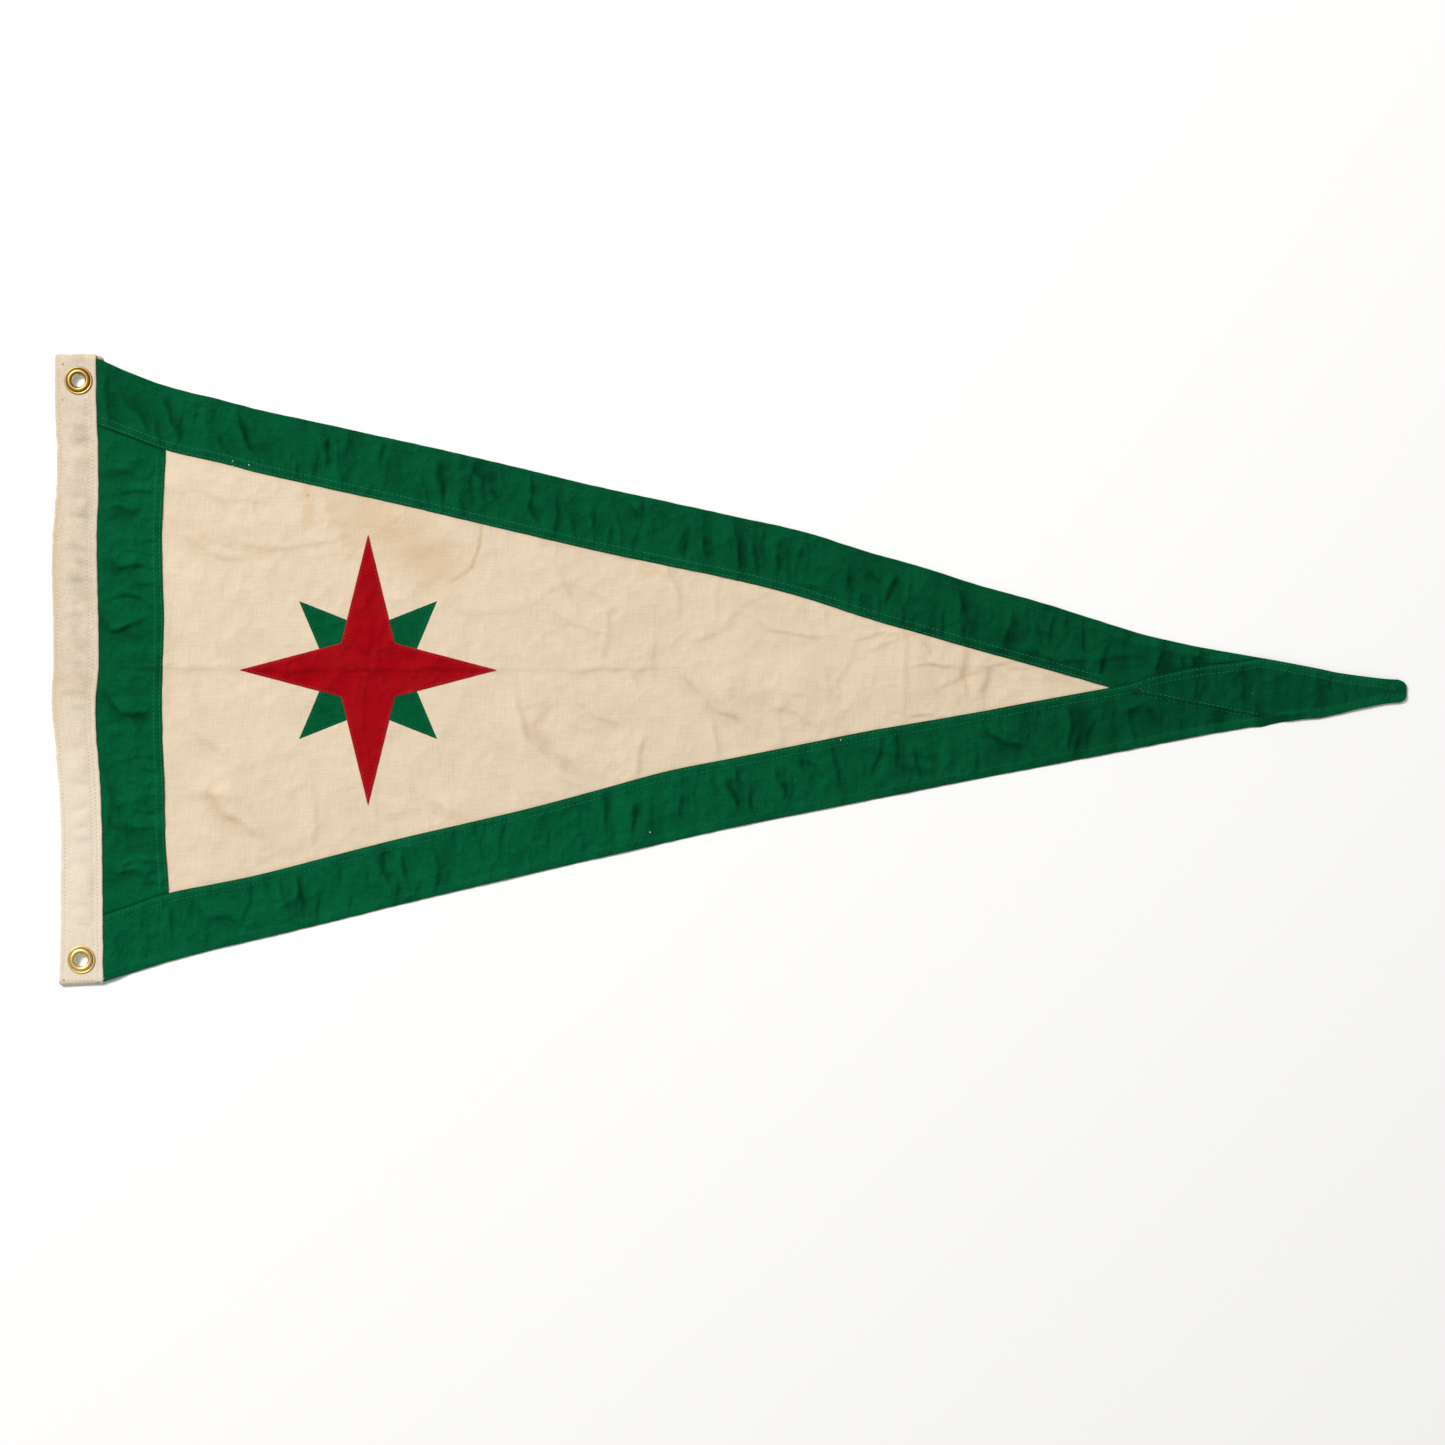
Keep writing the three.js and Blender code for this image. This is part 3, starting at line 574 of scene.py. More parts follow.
share = node(stain, "ShaderNodeMath",
             {0: dot.outputs["Value"],
              1: math_node(stain, "MAXIMUM", square.outputs["Value"], 1e-9)},
             operation="DIVIDE", use_clamp=True).outputs[0]
gap = vector_node(stain, "SUBTRACT", from_start, resized(stain, run, share))
away = node(stain, "ShaderNodeVectorMath", {0: gap}, operation="LENGTH").outputs["Value"]
mask = ranged(stain, away, 0.0, given["Half Width"], 1.0, 0.0, interpolation_type="SMOOTHSTEP")
stain.links.new(mask, made["Mask"])


def use(tree, group, inputs):
    """One placing of a shared effect, with its own values."""
    return node(tree, "ShaderNodeGroup", inputs, node_tree=group).outputs


def mix(tree, factor, a, b):
    """One colour turning into another as the factor goes from 0 to 1."""
    made = node(tree, "ShaderNodeMix", {"Factor": factor}, data_type="RGBA")
    feed(tree, made.inputs[6], a)
    feed(tree, made.inputs[7], b)
    return made.outputs[2]


def tinted(tree, colour, tint, mask, share):
    """The colour with a share of the tint in it, where the mask lies."""
    factor = node(tree, "ShaderNodeMath", {0: mask, 1: share}, operation="MULTIPLY", use_clamp=True)
    return mix(tree, factor.outputs[0], colour, tint)


def mottled(tree, place, size, contrast):
    """The mask of soft patches about that size."""
    return use(tree, mottling, {"Place": place, "Size": size, "Contrast": contrast})["Mask"]


def woven(tree, place, pitch, slub_width, slub_length):
    return use(tree, weave, {"Place": place, "Pitch": pitch, "Slub Width": slub_width,
                             "Slub Length": slub_length})


def object_place(tree):
    return node(tree, "ShaderNodeTexCoord").outputs["Object"]


def attribute(tree, name):
    return node(tree, "ShaderNodeAttribute", attribute_name=name).outputs["Fac"]


def row_place(x, y):
    """A place of the plan in the row's frame, in metres."""
    return tuple(PLAN_TO_ROW @ Vector((x, y, 0)))[:2] + (0.0,)


def set_bump(tree, shader, height, strength, distance, facets=()):
    """Relief of the shader: its fine height, on facets of some sizes and steepnesses."""
    place = object_place(tree)
    below = {}
    for size, steep in facets:
        raised = use(tree, crumple, {"Place": place, "Size": size})["Height"]
        bump = node(tree, "ShaderNodeBump", {"Height": raised, "Distance": size * steep, **below})
        below = {"Normal": bump.outputs["Normal"]}
    bump = node(tree, "ShaderNodeBump", {
        "Height": height, "Strength": strength, "Distance": distance, **below,
    })
    tree.links.new(bump.outputs["Normal"], shader.inputs["Normal"])


WHITE = (0.775, 0.632, 0.475, 1)
# WHITE_SHADE is painted shade in the creases and along the seams, and also a grey-tan tone in patches
# and towards the fly.
WHITE_SHADE = (0.62, 0.485, 0.33, 1)  # grey-tan, in creases and towards the fly
WHITE_TAN = (0.60, 0.42, 0.24, 1)
WHITE_THREAD = (0.84, 0.735, 0.58, 1)
# Tan marks on the field. Those that run along creases are tan staining with painted shade of those
# creases in it; the others are stains.
FIELD_STAINS = table(
    "x1 y1 x2 y2 half ragged strength",
    (198, 130, 248, 94, 36, 20, 0.46), (283, 121, 281, 103, 2.4, 3, 0.66),
    (281, 103, 276, 89, 2.6, 3, 0.72), (276, 89, 261, 78, 2.6, 4, 0.60),
    (154, 147, 155, 122, 8.5, 15, 0.40), (154.3, 142.2, 154.4, 142.0, 2.2, 0.4, 1.0),
    (411.5, 61, 411, 6, 2.6, 4, 0.20),
    (52, 60, 50, -20, 5, 12, 0.20), (330, 108, 356, 101, 5, 10, 0.26),
    (402, 86, 424, 82, 6, 12, 0.26), (250, -92, 268, -97, 6, 14, 0.24),
    (640, 24, 634, -12, 8, 16, 0.26), (700, 8, 722, 3, 7, 12, 0.30),
    (118, -128, 150, -119, 5, 12, 0.18), (470, 64, 500, 58, 6, 14, 0.18),
    (80, -78, 92, -98, 8, 14, 0.30), (92, -98, 120, -112, 7, 14, 0.24),
    (70, 112, 126, 98, 8, 16, 0.20), (170, 140, 186, 104, 12, 14, 0.24),
    (320, -30, 350, -62, 7, 14, 0.20), (430, 14, 474, -26, 6, 14, 0.14),
)


def stained(tree, colour, place, stains, tint):
    """The colour with the marks of a table of stains over it."""
    for n in range(len(stains["x1"])):
        row = {column: float(values[n]) for column, values in stains.items()}
        mark = use(tree, stain, {
            "Place": place, "Start": row_place(row["x1"], row["y1"]),
            "End": row_place(row["x2"], row["y2"]), "Half Width": row["half"] / 1000,
            "Ragged": row["ragged"] / 1000,
        })
        colour = tinted(tree, colour, tint(row), mark["Mask"], row["strength"])
    return colour


def white_cotton():
    material, tree, shader = new_material("white_cotton", 0.92, sheen=0.12)
    place = object_place(tree)
    axes = node(tree, "ShaderNodeSeparateXYZ", {0: place})
    cloth = woven(tree, place, 0.0011, 0.0013, 0.016)
    colour = tinted(tree, WHITE, WHITE_THREAD, cloth["Tone"], 0.62)
    fly = ranged(tree, axes.outputs["X"], -0.40, 0.30, 0.10, 0.20)
    colour = mix(tree, fly, colour, WHITE_SHADE)
    patches = mottled(tree, place, 0.045, 2.2)
    colour = tinted(tree, colour, WHITE_SHADE, patches, 0.24)
    specks = mottled(tree, place, 0.009, 2.6)
    colour = tinted(tree, colour, WHITE_TAN, specks, 0.10)
    soil_and_shade = attribute(tree, "soil_and_shade")
    # Painted shade in the creases and along the seams, and painted highlight on the creases' lit
    # sides, over an even soil.
    colour = tinted(tree, colour, WHITE_SHADE, soil_and_shade, 0.60)
    colour = stained(tree, colour, place, FIELD_STAINS, lambda row: WHITE_TAN)
    tree.links.new(colour, shader.inputs["Base Color"])
    set_bump(tree, shader, cloth["Height"], 0.42, 0.0002, ((0.034, 0.035), (0.013, 0.065)))
    return material


def between(u, v, left, right, low, high):
    """Places between four edges, u and v being the shares across and up the cloth."""
    x = left(np.zeros_like(u)) + (right(np.zeros_like(u)) - left(np.zeros_like(u))) * u
    y = np.zeros_like(u)
    for _ in range(6):
        y = low(x) + (high(x) - low(x)) * v
        x = left(y) + (right(y) - left(y)) * u
    return x, y


def field_place(u, v):
    x, y = between(
        u, v,
        left=lambda y: hoist_edge("field")(y) - FIELD_UNDER,
        right=lambda y: np.full_like(y, FIELD_RIGHT),
        low=field_low,
        high=field_high,
    )
    height, soil_and_shade = relief(x, y)
    inside = np.minimum(x - hoist_edge("field")(y), in_from_seams(x, y))
    # Painted shadow in a thin line along the field's edges, where the green strips lie over it.
    soil_and_shade = np.clip(soil_and_shade + 0.8 * np.exp(-((inside - 0.4) / 1.3) ** 2), 0, 1)
    return x, y, height + FIELD_LEVEL, soil_and_shade


field = finish_mesh("field_cloth", grid_of_cloth(*FIELD_GRID, field_place), white_cotton())
thicken(field, LAYER)
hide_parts("white_field")

# Compass star: four long red points and four short green ones, cut from cotton, with their edges
# turned under and stitched down on the field. The green ones run on under the red edges.
STAR_REACH = {"across": 95.0, "upright": 100.0, "valley": 28.0, "short": 72.0}
STAR_SHOULDER = 0.2  # where the sides of a green point begin, along the edge of a red one
TUCK_UNDER = 3.0
RED_LEVEL = 1.06
GREEN_PATCH_LEVEL = 0.72
EDGE_FALL = 0.34  # how far a turned edge rounds down
EDGE_ROUND = 0.8
FRAY = 0.16
RED = (0.395, 0.0004, 0.0055, 1)
# The deep colours serve for darker slubs and patches, and as painted shade in creases.
RED_DEEP = (0.205, 0.0002, 0.0025, 1)
RED_FRAY = (0.56, 0.085, 0.075, 1)
GREEN = (0.0004, 0.1130, 0.0385, 1)
GREEN_DEEP = (0.0003, 0.0280, 0.0085, 1)
GREEN_FRAY = (0.008, 0.190, 0.085, 1)
PATCH_GRID = 40


def crowded(share):
    """Shares that lie closer together towards 1, where the turned edge is."""
    return 1 - (1 - share) ** 1.7


def edge_distance(x, y, edges):
    """Distance to the nearest of some straight edges."""
    best = np.full(x.shape, 1e9)
    for (ax, ay), (bx, by) in edges:
        length = math.dist((ax, ay), (bx, by))
        dx, dy = (bx - ax) / length, (by - ay) / length
        along = np.clip((x - ax) * dx + (y - ay) * dy, 0, length)
        best = np.minimum(best, np.hypot(x - ax - along * dx, y - ay - along * dy))
    return best


PATCH_STITCHES = 1.5  # in from the turned edges of the patches


def patch(corners, level):
    """A four-cornered patch; the edges that meet at its third corner are turned under."""
    first, second, third, fourth = (np.array(corner, float) for corner in corners)
    outline = [(second, third), (third, fourth)]

    def place(u, v):
        u, v = crowded(u), crowded(v)
        spot = [
            first[n] * (1 - u) * (1 - v) + second[n] * u * (1 - v)
            + third[n] * u * v + fourth[n] * (1 - u) * v
            for n in (0, 1)
        ]
        x, y = spot[0] + STAR[0], spot[1] + STAR[1]
        edge = edge_distance(spot[0], spot[1], outline)
        loose = FRAY * np.clip(1 - edge / 1.5, 0, 1)
        x = x + loose * ripple(x, y, 1.3, 7.0)
        y = y + loose * ripple(x, y, 1.3, 8.0)
        height, soil_and_shade = relief(x, y)
        fall = EDGE_FALL * (1 - np.sqrt(1 - np.clip(1 - edge / EDGE_ROUND, 0, 1) ** 2 * 0.999))
        pinch = 0.1 * np.exp(-((edge - PATCH_STITCHES) / 0.5) ** 2)
        quilt = 0.1 * ripple(x, y, 7.0, 9.0)
        return x, y, height + level - fall - pinch + quilt, soil_and_shade

    bm = grid_of_cloth(PATCH_GRID, PATCH_GRID, place)
    rim = bm.verts.layers.float.new("rim")
    for vertex in bm.verts:
        spot = np.array([vertex.co.x - STAR[0]]), np.array([vertex.co.y - STAR[1]])
        vertex[rim] = float(np.clip(1 - edge_distance(*spot, outline)[0] / 0.7, 0, 1))
    return bm


def join(parts):
    """Several meshes as one, their shared edges merged, facing up."""
    whole = bmesh.new()
    for part in parts:
        mesh = bpy.data.meshes.new("part")
        part.to_mesh(mesh)
        part.free()
        whole.from_mesh(mesh)
        bpy.data.meshes.remove(mesh)
    bmesh.ops.remove_doubles(whole, verts=whole.verts, dist=1e-4)
    bmesh.ops.recalc_face_normals(whole, faces=whole.faces)
    if sum(face.normal.z for face in whole.faces) < 0:
        bmesh.ops.reverse_faces(whole, faces=whole.faces)
    return whole


def turned(point, quarter):
    """A point turned by quarters of a circle about the middle of the star."""
    x, y = point
    for _ in range(quarter):
        x, y = -y, x
    return x, y


def red_corners(quarter):
    tip = STAR_REACH["across"] if quarter % 2 == 0 else STAR_REACH["upright"]
    low = STAR_REACH["valley"] * math.sqrt(0.5)
    return [turned(point, quarter) for point in ((0, 0), (low, -low), (tip, 0), (low, low))]


def green_corners(quarter):
    """A green point, with its hidden edges moved in under the red ones."""
    valley, short = (STAR_REACH[kind] * math.sqrt(0.5) for kind in ("valley", "short"))
    low = valley - TUCK_UNDER
    tips = STAR_REACH["across"], STAR_REACH["upright"]
    along, up = tips if quarter % 2 == 0 else tips[::-1]
    side_x = valley + (along - valley) * STAR_SHOULDER, valley * (1 - STAR_SHOULDER) - TUCK_UNDER
    side_y = valley * (1 - STAR_SHOULDER) - TUCK_UNDER, valley + (up - valley) * STAR_SHOULDER
    return [turned(point, quarter) for point in ((low, low), side_x, (short, short), side_y)]


def dyed_cotton(name, colour, deep, fray, turn=0.0):
    """Dyed plain weave: even colour with darker slubs, deeper with painted shade in its creases,
    hollows and beside its seams, pale at cut edges.
    """
    material, tree, shader = new_material(name, 0.88)
    place = object_place(tree)
    grain = node(tree, "ShaderNodeMapping", {"Vector": place, "Rotation": (0, 0, turn)}).outputs[0]
    cloth = woven(tree, grain, 0.0008, 0.0011, 0.012)
    tone = tinted(tree, colour, deep, cloth["Tone"], 0.34)
    patches = mottled(tree, place, 0.05, 2.2)
    tone = tinted(tree, tone, deep, patches, 0.20)
    faded = mottled(tree, place, 0.02, 2.0)
    tone = tinted(tree, tone, fray, faded, 0.05)
    soil_and_shade = attribute(tree, "soil_and_shade")
    # Painted shade in creases, ripple hollows and beside seams, and painted highlight on crests, over
    # an even soil.
    tone = tinted(tree, tone, deep, soil_and_shade, 0.85)
    rim = attribute(tree, "rim")
    tone = tinted(tree, tone, fray, rim, 0.28)
    tree.links.new(tone, shader.inputs["Base Color"])
    set_bump(tree, shader, cloth["Height"], 0.40, 0.00018, ((0.020, 0.15), (0.009, 0.17)))
    return material


red_cotton = dyed_cotton("red_cotton", RED, RED_DEEP, RED_FRAY)
green_patch = dyed_cotton("green_patch", GREEN, GREEN_DEEP, GREEN_FRAY)
star = finish_mesh(
    "star_red_cloth", join([patch(red_corners(n), RED_LEVEL) for n in range(4)]), red_cotton
)
thicken(star, LAYER)
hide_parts("star_red")
for quarter in range(4):
    point = finish_mesh(f"star_green_cloth_{quarter + 1}",
                        join([patch(green_corners(quarter), GREEN_PATCH_LEVEL)]), green_patch)
    thicken(point, LAYER)
    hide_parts(f"star_green_{quarter + 1}")

# Green strips: one beside the heading and one along each long edge, each a strip of green cotton.
# Their outer edges are hemmed, and their inner ones turned under and felled over the field.
INSERT = 5.8  # how far they run in between the legs of the heading
BODY_LEVEL = 0.6
# Across an edge, from the turning underneath, round the edge, to where the strip is single again:
# distance in from the edge, and height over the surface
SEAM_ROWS = ((6, 0.80), (3, 0.80), (0.6, 0.80), (0.1, 0.87), (-0.08, 1.0), (0.1, 1.14), (0.5, 1.21),
             (1.0, 1.16), (1.5, 0.98), (2.0, 1.16), (3.6, 1.26), (5.3, 1.16), (5.9, 0.94),
             (6.7, 0.84), (8.4, 0.62))
HEM_ROWS = ((6, 0.40), (3, 0.40), (0.6, 0.40), (0.1, 0.48), (-0.08, 0.62), (0.1, 0.78), (0.6, 0.92),
            (2.0, 0.98), (4.0, 0.98), (5.4, 0.94), (6.0, 0.78), (6.6, 0.74), (8.4, 0.62))
SINGLE_WIDTH = 8.4
NARROW = 2.3 * SINGLE_WIDTH  # below this width a strip's turnings are squeezed together
SEAM_STITCHES = (1.4, 6.0)
HEM_STITCHES = (6.0,)
EDGE_LIP = 0.25  # a hem's edge wavers by this
STRIP_TURN = 0.23
UPPER_END = 862.0
TIP_FOLD_UNDER = 8.0
TIP_RISE = 0.9
TIP_LINE = {"x": 766.0, "y": -3.4, "slope": -0.197, "blend": 2.0}
TIP_END = {"x": 967.3, "middle": -3.1, "half": 8.2, "crown": 0.8, "corner": 4.8}


def strip_rows(low_rows, high_rows, body):
    """Share, distance in and height of each row across a strip, from its lower edge up."""
    low = [(0.0, away, level) for away, level in low_rows]
    high = [(1.0, -away, level) for away, level in reversed(high_rows)]
    middle = []
    for n in range(1, body):
        share = n / body
        middle.append((share, SINGLE_WIDTH * (1 - 2 * share), BODY_LEVEL))
    return np.array(low + middle + high).T


def puckers():
    """Small creases that run in from the seams and hems: a path, width, drop and shade of each."""
    chance = random.Random(31)
    made = []
    for low, high, x, end in (
        (flag_edge("high"), outer_edge("top"), 8.0, 735),
        (outer_edge("bottom"), flag_edge("low"), 8.0, 735),
        (upper_inner, outer_edge("top"), 740.0, 830),
        (outer_edge("bottom"), lower_inner, 740.0, 950),
    ):
        while x < end:
            foot, top = float(low(np.array(x))), float(high(np.array(x)))
            reach = chance.uniform(0.25, 0.75) * (top - foot) * chance.choice((1, -1))
            start = foot + 1 if reach > 0 else top - 1
            lean, bend = chance.uniform(-0.3, 0.28), chance.uniform(-0.14, 0.14)
            middle = (x + (lean / 2 + bend) * abs(reach), start + reach / 2)
            drop = chance.choice((0.35, 0.5, 0.6, 0.8, 1.1))
            made.append((((x, start), middle, (x + lean * abs(reach), start + reach)),
                         chance.uniform(1.0, 1.7), drop, 0.5 * drop))
            x += chance.uniform(7, 18)
    y = -145.0
    while y < 165:
        left, reach = (6.0, 1) if chance.random() < 0.4 else (44.0, -1)
        reach *= chance.uniform(10, 36)
        lean, bend = chance.uniform(-0.4, 0.4), chance.uniform(-0.14, 0.14)
        drop = chance.choice((0.35, 0.5, 0.7, 1.0))
        made.append((((left, y), (left + reach / 2, y + (lean / 2 + bend) * reach),
                      (left + reach, y + lean * reach)), chance.uniform(1.0, 1.7), drop, 0.5 * drop))
        y += chance.uniform(7, 17)
    return made


def in_from_hems(x, y):
    """Distance in from the nearer of the flag's long edges."""
    return np.minimum(outer_edge("top")(x) - y, y - outer_edge("bottom")(x))


def strip_relief(x, y, stretch):
    """The relief of the surface, with the small ripples that the seams draw up in a strip, and the
    soil with painted shade in their hollows and painted highlight on their crests.
    """
    height, soil_and_shade = relief(x, y)
    drawn_up, shade = creases(x, y, PUCKERS, stray=1.2, halo=0.12)
    calm = 0.3 + 0.7 * smooth(in_from_hems(x, y), 1.0, 9.0)
    across, along = x * stretch[0], y * stretch[1]
    drawn = 0.60 * ripple(across, along, 12.0, 11.0) + 0.20 * ripple(across, along, 5.0, 12.0)
    ridges = wrinkles(across + 0.2 * y, along, 15.0, 13.0)
    ridges += 0.5 * wrinkles(across - 0.3 * y, along * 1.6, 8.0, 14.0)
    zones = 0.25 + 0.75 * smooth(ripple(x, y, 55.0, 15.0), -0.3, 0.3)
    # Painted shade in the hollows of the ripples, and painted highlight on their crests and ridges.
    dark = 0.28 * smooth(-drawn, 0.0, 0.42) - 0.22 * smooth(drawn, 0.05, 0.42)
    dark = dark - 0.22 * zones * ridges
    free = 0.3 + 0.7 * free_of_heading(x, y)
    height = height + free * calm * (drawn + drawn_up + 0.45 * zones * ridges)
    return height, np.clip(0.85 * soil_and_shade + (dark + shade) * free, 0, 1)


LOWEST = LAYER / 2 + 0.02  # the middle of a cloth that touches the surface


def shown(x, y):
    return smooth(x - hoist_edge("seam")(y), 1, 8)


def settled(level, x, y):
    """A strip is pressed to one thickness inside the heading."""
    return BODY_LEVEL + (level - BODY_LEVEL) * (0.2 + 0.8 * shown(x, y))


def along_strip(low, high, rows, u, v, left, right):
    """Places on a strip between its lower and upper edges, and the level of each."""
    shares, aways, levels = rows
    index = np.round(v * (len(shares) - 1)).astype(int)
    x = left(np.zeros_like(u)) + (right(np.zeros_like(u)) - left(np.zeros_like(u))) * u
    for _ in range(6):
        width = high(x) - low(x)
        squeeze = np.clip(width / NARROW, 0, 1)
        y = low(x) + shares[index] * width + aways[index] * squeeze
        x = left(y) + (right(y) - left(y)) * u
    return x, y, levels[index]


def waver(edge, seed):
    """An edge that wavers a little, as a sewn one does."""
    return lambda x: edge(x) + EDGE_LIP * ripple(x, np.full_like(x, seed), 9.0, seed)


def in_heading(y):
    return hoist_edge("seam")(y) - INSERT


def upper_inner(x):
    return np.where(x < TIP_START, read(FLAG, "x", "high", x), read(TIP, "x", "fold", x))


def upper_low(x):
    """The inner edge of the upper strip, which runs on under the lower one at the tip."""
    return upper_inner(x) - TIP_FOLD_UNDER * smooth(x, TIP_START - 4, TIP_START + 12)


def lower_inner(x):
    folded = np.minimum(read(TIP, "x", "fold", x), read(TIP, "x", "top", x))
    return np.where(x < TIP_START, read(FLAG, "x", "low", x), folded)


PUCKERS = puckers()


def tip_end(y):
    t = np.clip((y - TIP_END["middle"]) / TIP_END["half"], -1, 1)
    return TIP_END["x"] - TIP_END["crown"] * t ** 2 - TIP_END["corner"] * t ** 6


def tip_line(x):
    """The edge of the upper strip's end, over which the lower strip steps up."""
    return TIP_LINE["y"] + TIP_LINE["slope"] * (x - TIP_LINE["x"])


def tip_rise(x, y):
    """How far the lower strip stands over the end of the upper one, folded in below it."""
    inside = smooth(y - tip_line(x), -TIP_LINE["blend"] / 2, TIP_LINE["blend"] / 2)
    return TIP_RISE * inside * smooth(x, TIP_START - 6, TIP_START + 14)


upper_edge = waver(outer_edge("top"), 31.0)
HEM_BULGE = {"x": 861.0, "out": 1.0, "half": 5.0}  # where the hem's end is turned in, at the tip
bottom_edge = waver(outer_edge("bottom"), 37.0)


def lower_edge(x):
    near = np.exp(-((x - HEM_BULGE["x"]) / HEM_BULGE["half"]) ** 2)
    return bottom_edge(x) - HEM_BULGE["out"] * near


UPPER_ROWS = strip_rows(SEAM_ROWS, HEM_ROWS, 18)
LOWER_ROWS = strip_rows(HEM_ROWS, SEAM_ROWS, 18)
HOIST_ROWS = strip_rows(((0, BODY_LEVEL),), SEAM_ROWS, 28)
ALONG = (0.16, 1.0)  # ripples across the long strips are drawn out up and down
UP = (1.0, 0.22)
TIP_DARK = 0.5


def darkened(x, y, near):
    """The cloth has darkened towards the tip, but less so on its hems there."""
    off_hems = 1 - smooth(in_from_hems(x, y), 4.5, 8.5)
    inner = 1 - 0.65 * smooth(x, TIP_START - 20, TIP_START + 60) * off_hems
    return (near + (TIP_DARK - near) * np.clip(x / (TIP_START + 60), 0, 1) ** 2) * inner


def upper_place(u, v):
    x, y, level = along_strip(upper_low, upper_edge, UPPER_ROWS, u, v,
                              in_heading, lambda y: np.full_like(y, UPPER_END))
    height, soil_and_shade = strip_relief(x, y, UP)
    under = 0.45 * smooth(x, TIP_START - 4, TIP_START + 12)
    low_half = v < 0.5
    level = np.where(low_half, level - under, level)
    # Painted shadow on the upper strip along the folded edge of the lower strip that lies over it at
    # the tip.
    beside = np.exp(-((y - lower_inner(x) - 0.3) / 0.9) ** 2)
    beside = beside * smooth(x, TIP_START - 4, TIP_START + 4)
    soil_and_shade = np.clip(soil_and_shade + 0.9 * beside + darkened(x, y, 0.17), 0, 1)
    return x, y, np.maximum(height + settled(level, x, y), LOWEST), soil_and_shade


def lower_place(u, v):
    last = 3 / LOWER_COLUMNS
    along = np.clip(u / (1 - last), 0, 1)
    x, y, level = along_strip(lower_edge, lower_inner, LOWER_ROWS, along, v, in_heading, tip_end)
    height, soil_and_shade = strip_relief(x, y, UP)
    down = np.clip((u - (1 - last)) / last, 0, 1)
    z = np.maximum(height + settled(level, x, y), LOWEST) + tip_rise(x, y)
    x = x + 0.25 * np.sin(down * math.pi)
    # Painted shade on the lower strip along the step where it rises over the end of the upper strip.
    beside = np.exp(-((y - tip_line(x) + 0.9) / 0.9) ** 2)
    beside = beside * smooth(x, 764, 770) * (1 - smooth(x, 860, 868))
    soil_and_shade = np.clip(soil_and_shade + 0.7 * beside + darkened(x, y, -0.10), 0, 1)
    return x, y, z + (0.3 - z) * down * (z > 1.0), soil_and_shade


def hoist_place(u, v):
    """The strip beside the heading: its rows run up the hoist, so u and v change places."""
    shares, aways, levels = HOIST_ROWS
    index = np.round(u * (len(shares) - 1)).astype(int)
    y = -170 + 360 * v
    for _ in range(6):
        left, right = in_heading(y), hoist_edge("field")(y)
        x = left + shares[index] * (right - left) + np.where(shares[index] > 0, aways[index], 0)
        y = field_low(x) + (field_high(x) - field_low(x)) * v
    height, soil_and_shade = strip_relief(x, y, ALONG)
    inside = in_from_seams(x, y)
    lap = smooth(inside, 0.0, 2.5)
    # Painted shadow on the hoist strip along the edges of the long strips that lie over it.
    soil_and_shade = np.clip(soil_and_shade + 0.9 * np.exp(-((inside - 0.5) / 1.1) ** 2), 0, 1)
    z = height + 0.4 + (settled(levels[index], x, y) - 0.4) * lap
    return x, y, np.maximum(z, LOWEST), soil_and_shade


PATH_STEP = 1.2  # between the points of a row of stitches
THREAD_LIFT = 0.2  # middle of the thread over the level of the cloth


def run_along(path):
    """The length of a path up to each of its points."""
    return np.concatenate([[0], np.cumsum(np.hypot(*np.diff(path[:, :2], axis=0).T))])


def stitches(name, rows, thread, stitch=2.5, pitch=3.3, width=0.42):
    """Rows of stitches, each a short thread bedded in the cloth, along paths in the plan."""
    one = bmesh.new()
    bmesh.ops.create_uvsphere(one, u_segments=6, v_segments=4, radius=0.5)
    bmesh.ops.rotate(one, verts=one.verts, matrix=Matrix.Rotation(math.pi / 2, 3, "Y"))
    bmesh.ops.scale(one, verts=one.verts, vec=(stitch, width, width * 0.8))
    template = bpy.data.meshes.new("stitch")
    one.to_mesh(template)
    count = len(one.verts)
    one.free()
    bm = bmesh.new()
    for path in rows:
        run = run_along(path)
        for middle in np.arange(pitch / 2, run[-1] - pitch / 2, pitch):
            ends = [[np.interp(middle + s, run, path[:, n]) for n in range(3)]
                    for s in (-stitch / 2, stitch / 2)]
            start, end = Vector(ends[0]), Vector(ends[1])
            facing = (end - start).to_track_quat("X", "Z").to_matrix().to_4x4()
            matrix = Matrix.Translation((start + end) / 2) @ facing
            bm.from_mesh(template)
            bm.verts.ensure_lookup_table()
            for vertex in bm.verts[-count:]:
                vertex.co = matrix @ vertex.co
    bpy.data.meshes.remove(template)
    return finish_mesh(name, bm, thread)


def thread_material(name, colour, worn):
    material, tree, shader = new_material(name, 0.7, sheen=0.1)
    place = object_place(tree)
    patches = mottled(tree, place, 0.004, 3.0)
    tree.links.new(mix(tree, patches, colour, worn), shader.inputs["Base Color"])
    return material


def level_in(rows, away):
    """Height of the top of a turned edge, some way in from it."""
    return np.interp(away, *np.array(rows[4:]).T)


def lengthwise(low, high, rows, aways, from_edge, start, end):
    """Paths of stitch rows along a strip, at some distances in from one of its edges."""
    paths = []
    for away in aways:
        x = np.arange(start, end, PATH_STEP)
        squeeze = np.clip((high(x) - low(x)) / NARROW, 0, 1)
        y = low(x) + away * squeeze if from_edge == "low" else high(x) - away * squeeze
        y = y + (TIP_END["middle"] - y) * 0.85 * smooth(x, 945.0, 963.0)
        level = level_in(rows, away)
        height, _ = strip_relief(x, y, UP)
        rise = tip_rise(x, y) if low is lower_edge else 0.0
        paths.append(np.stack([x, y, height + settled(level, x, y) + rise + THREAD_LIFT], 1))
    return paths


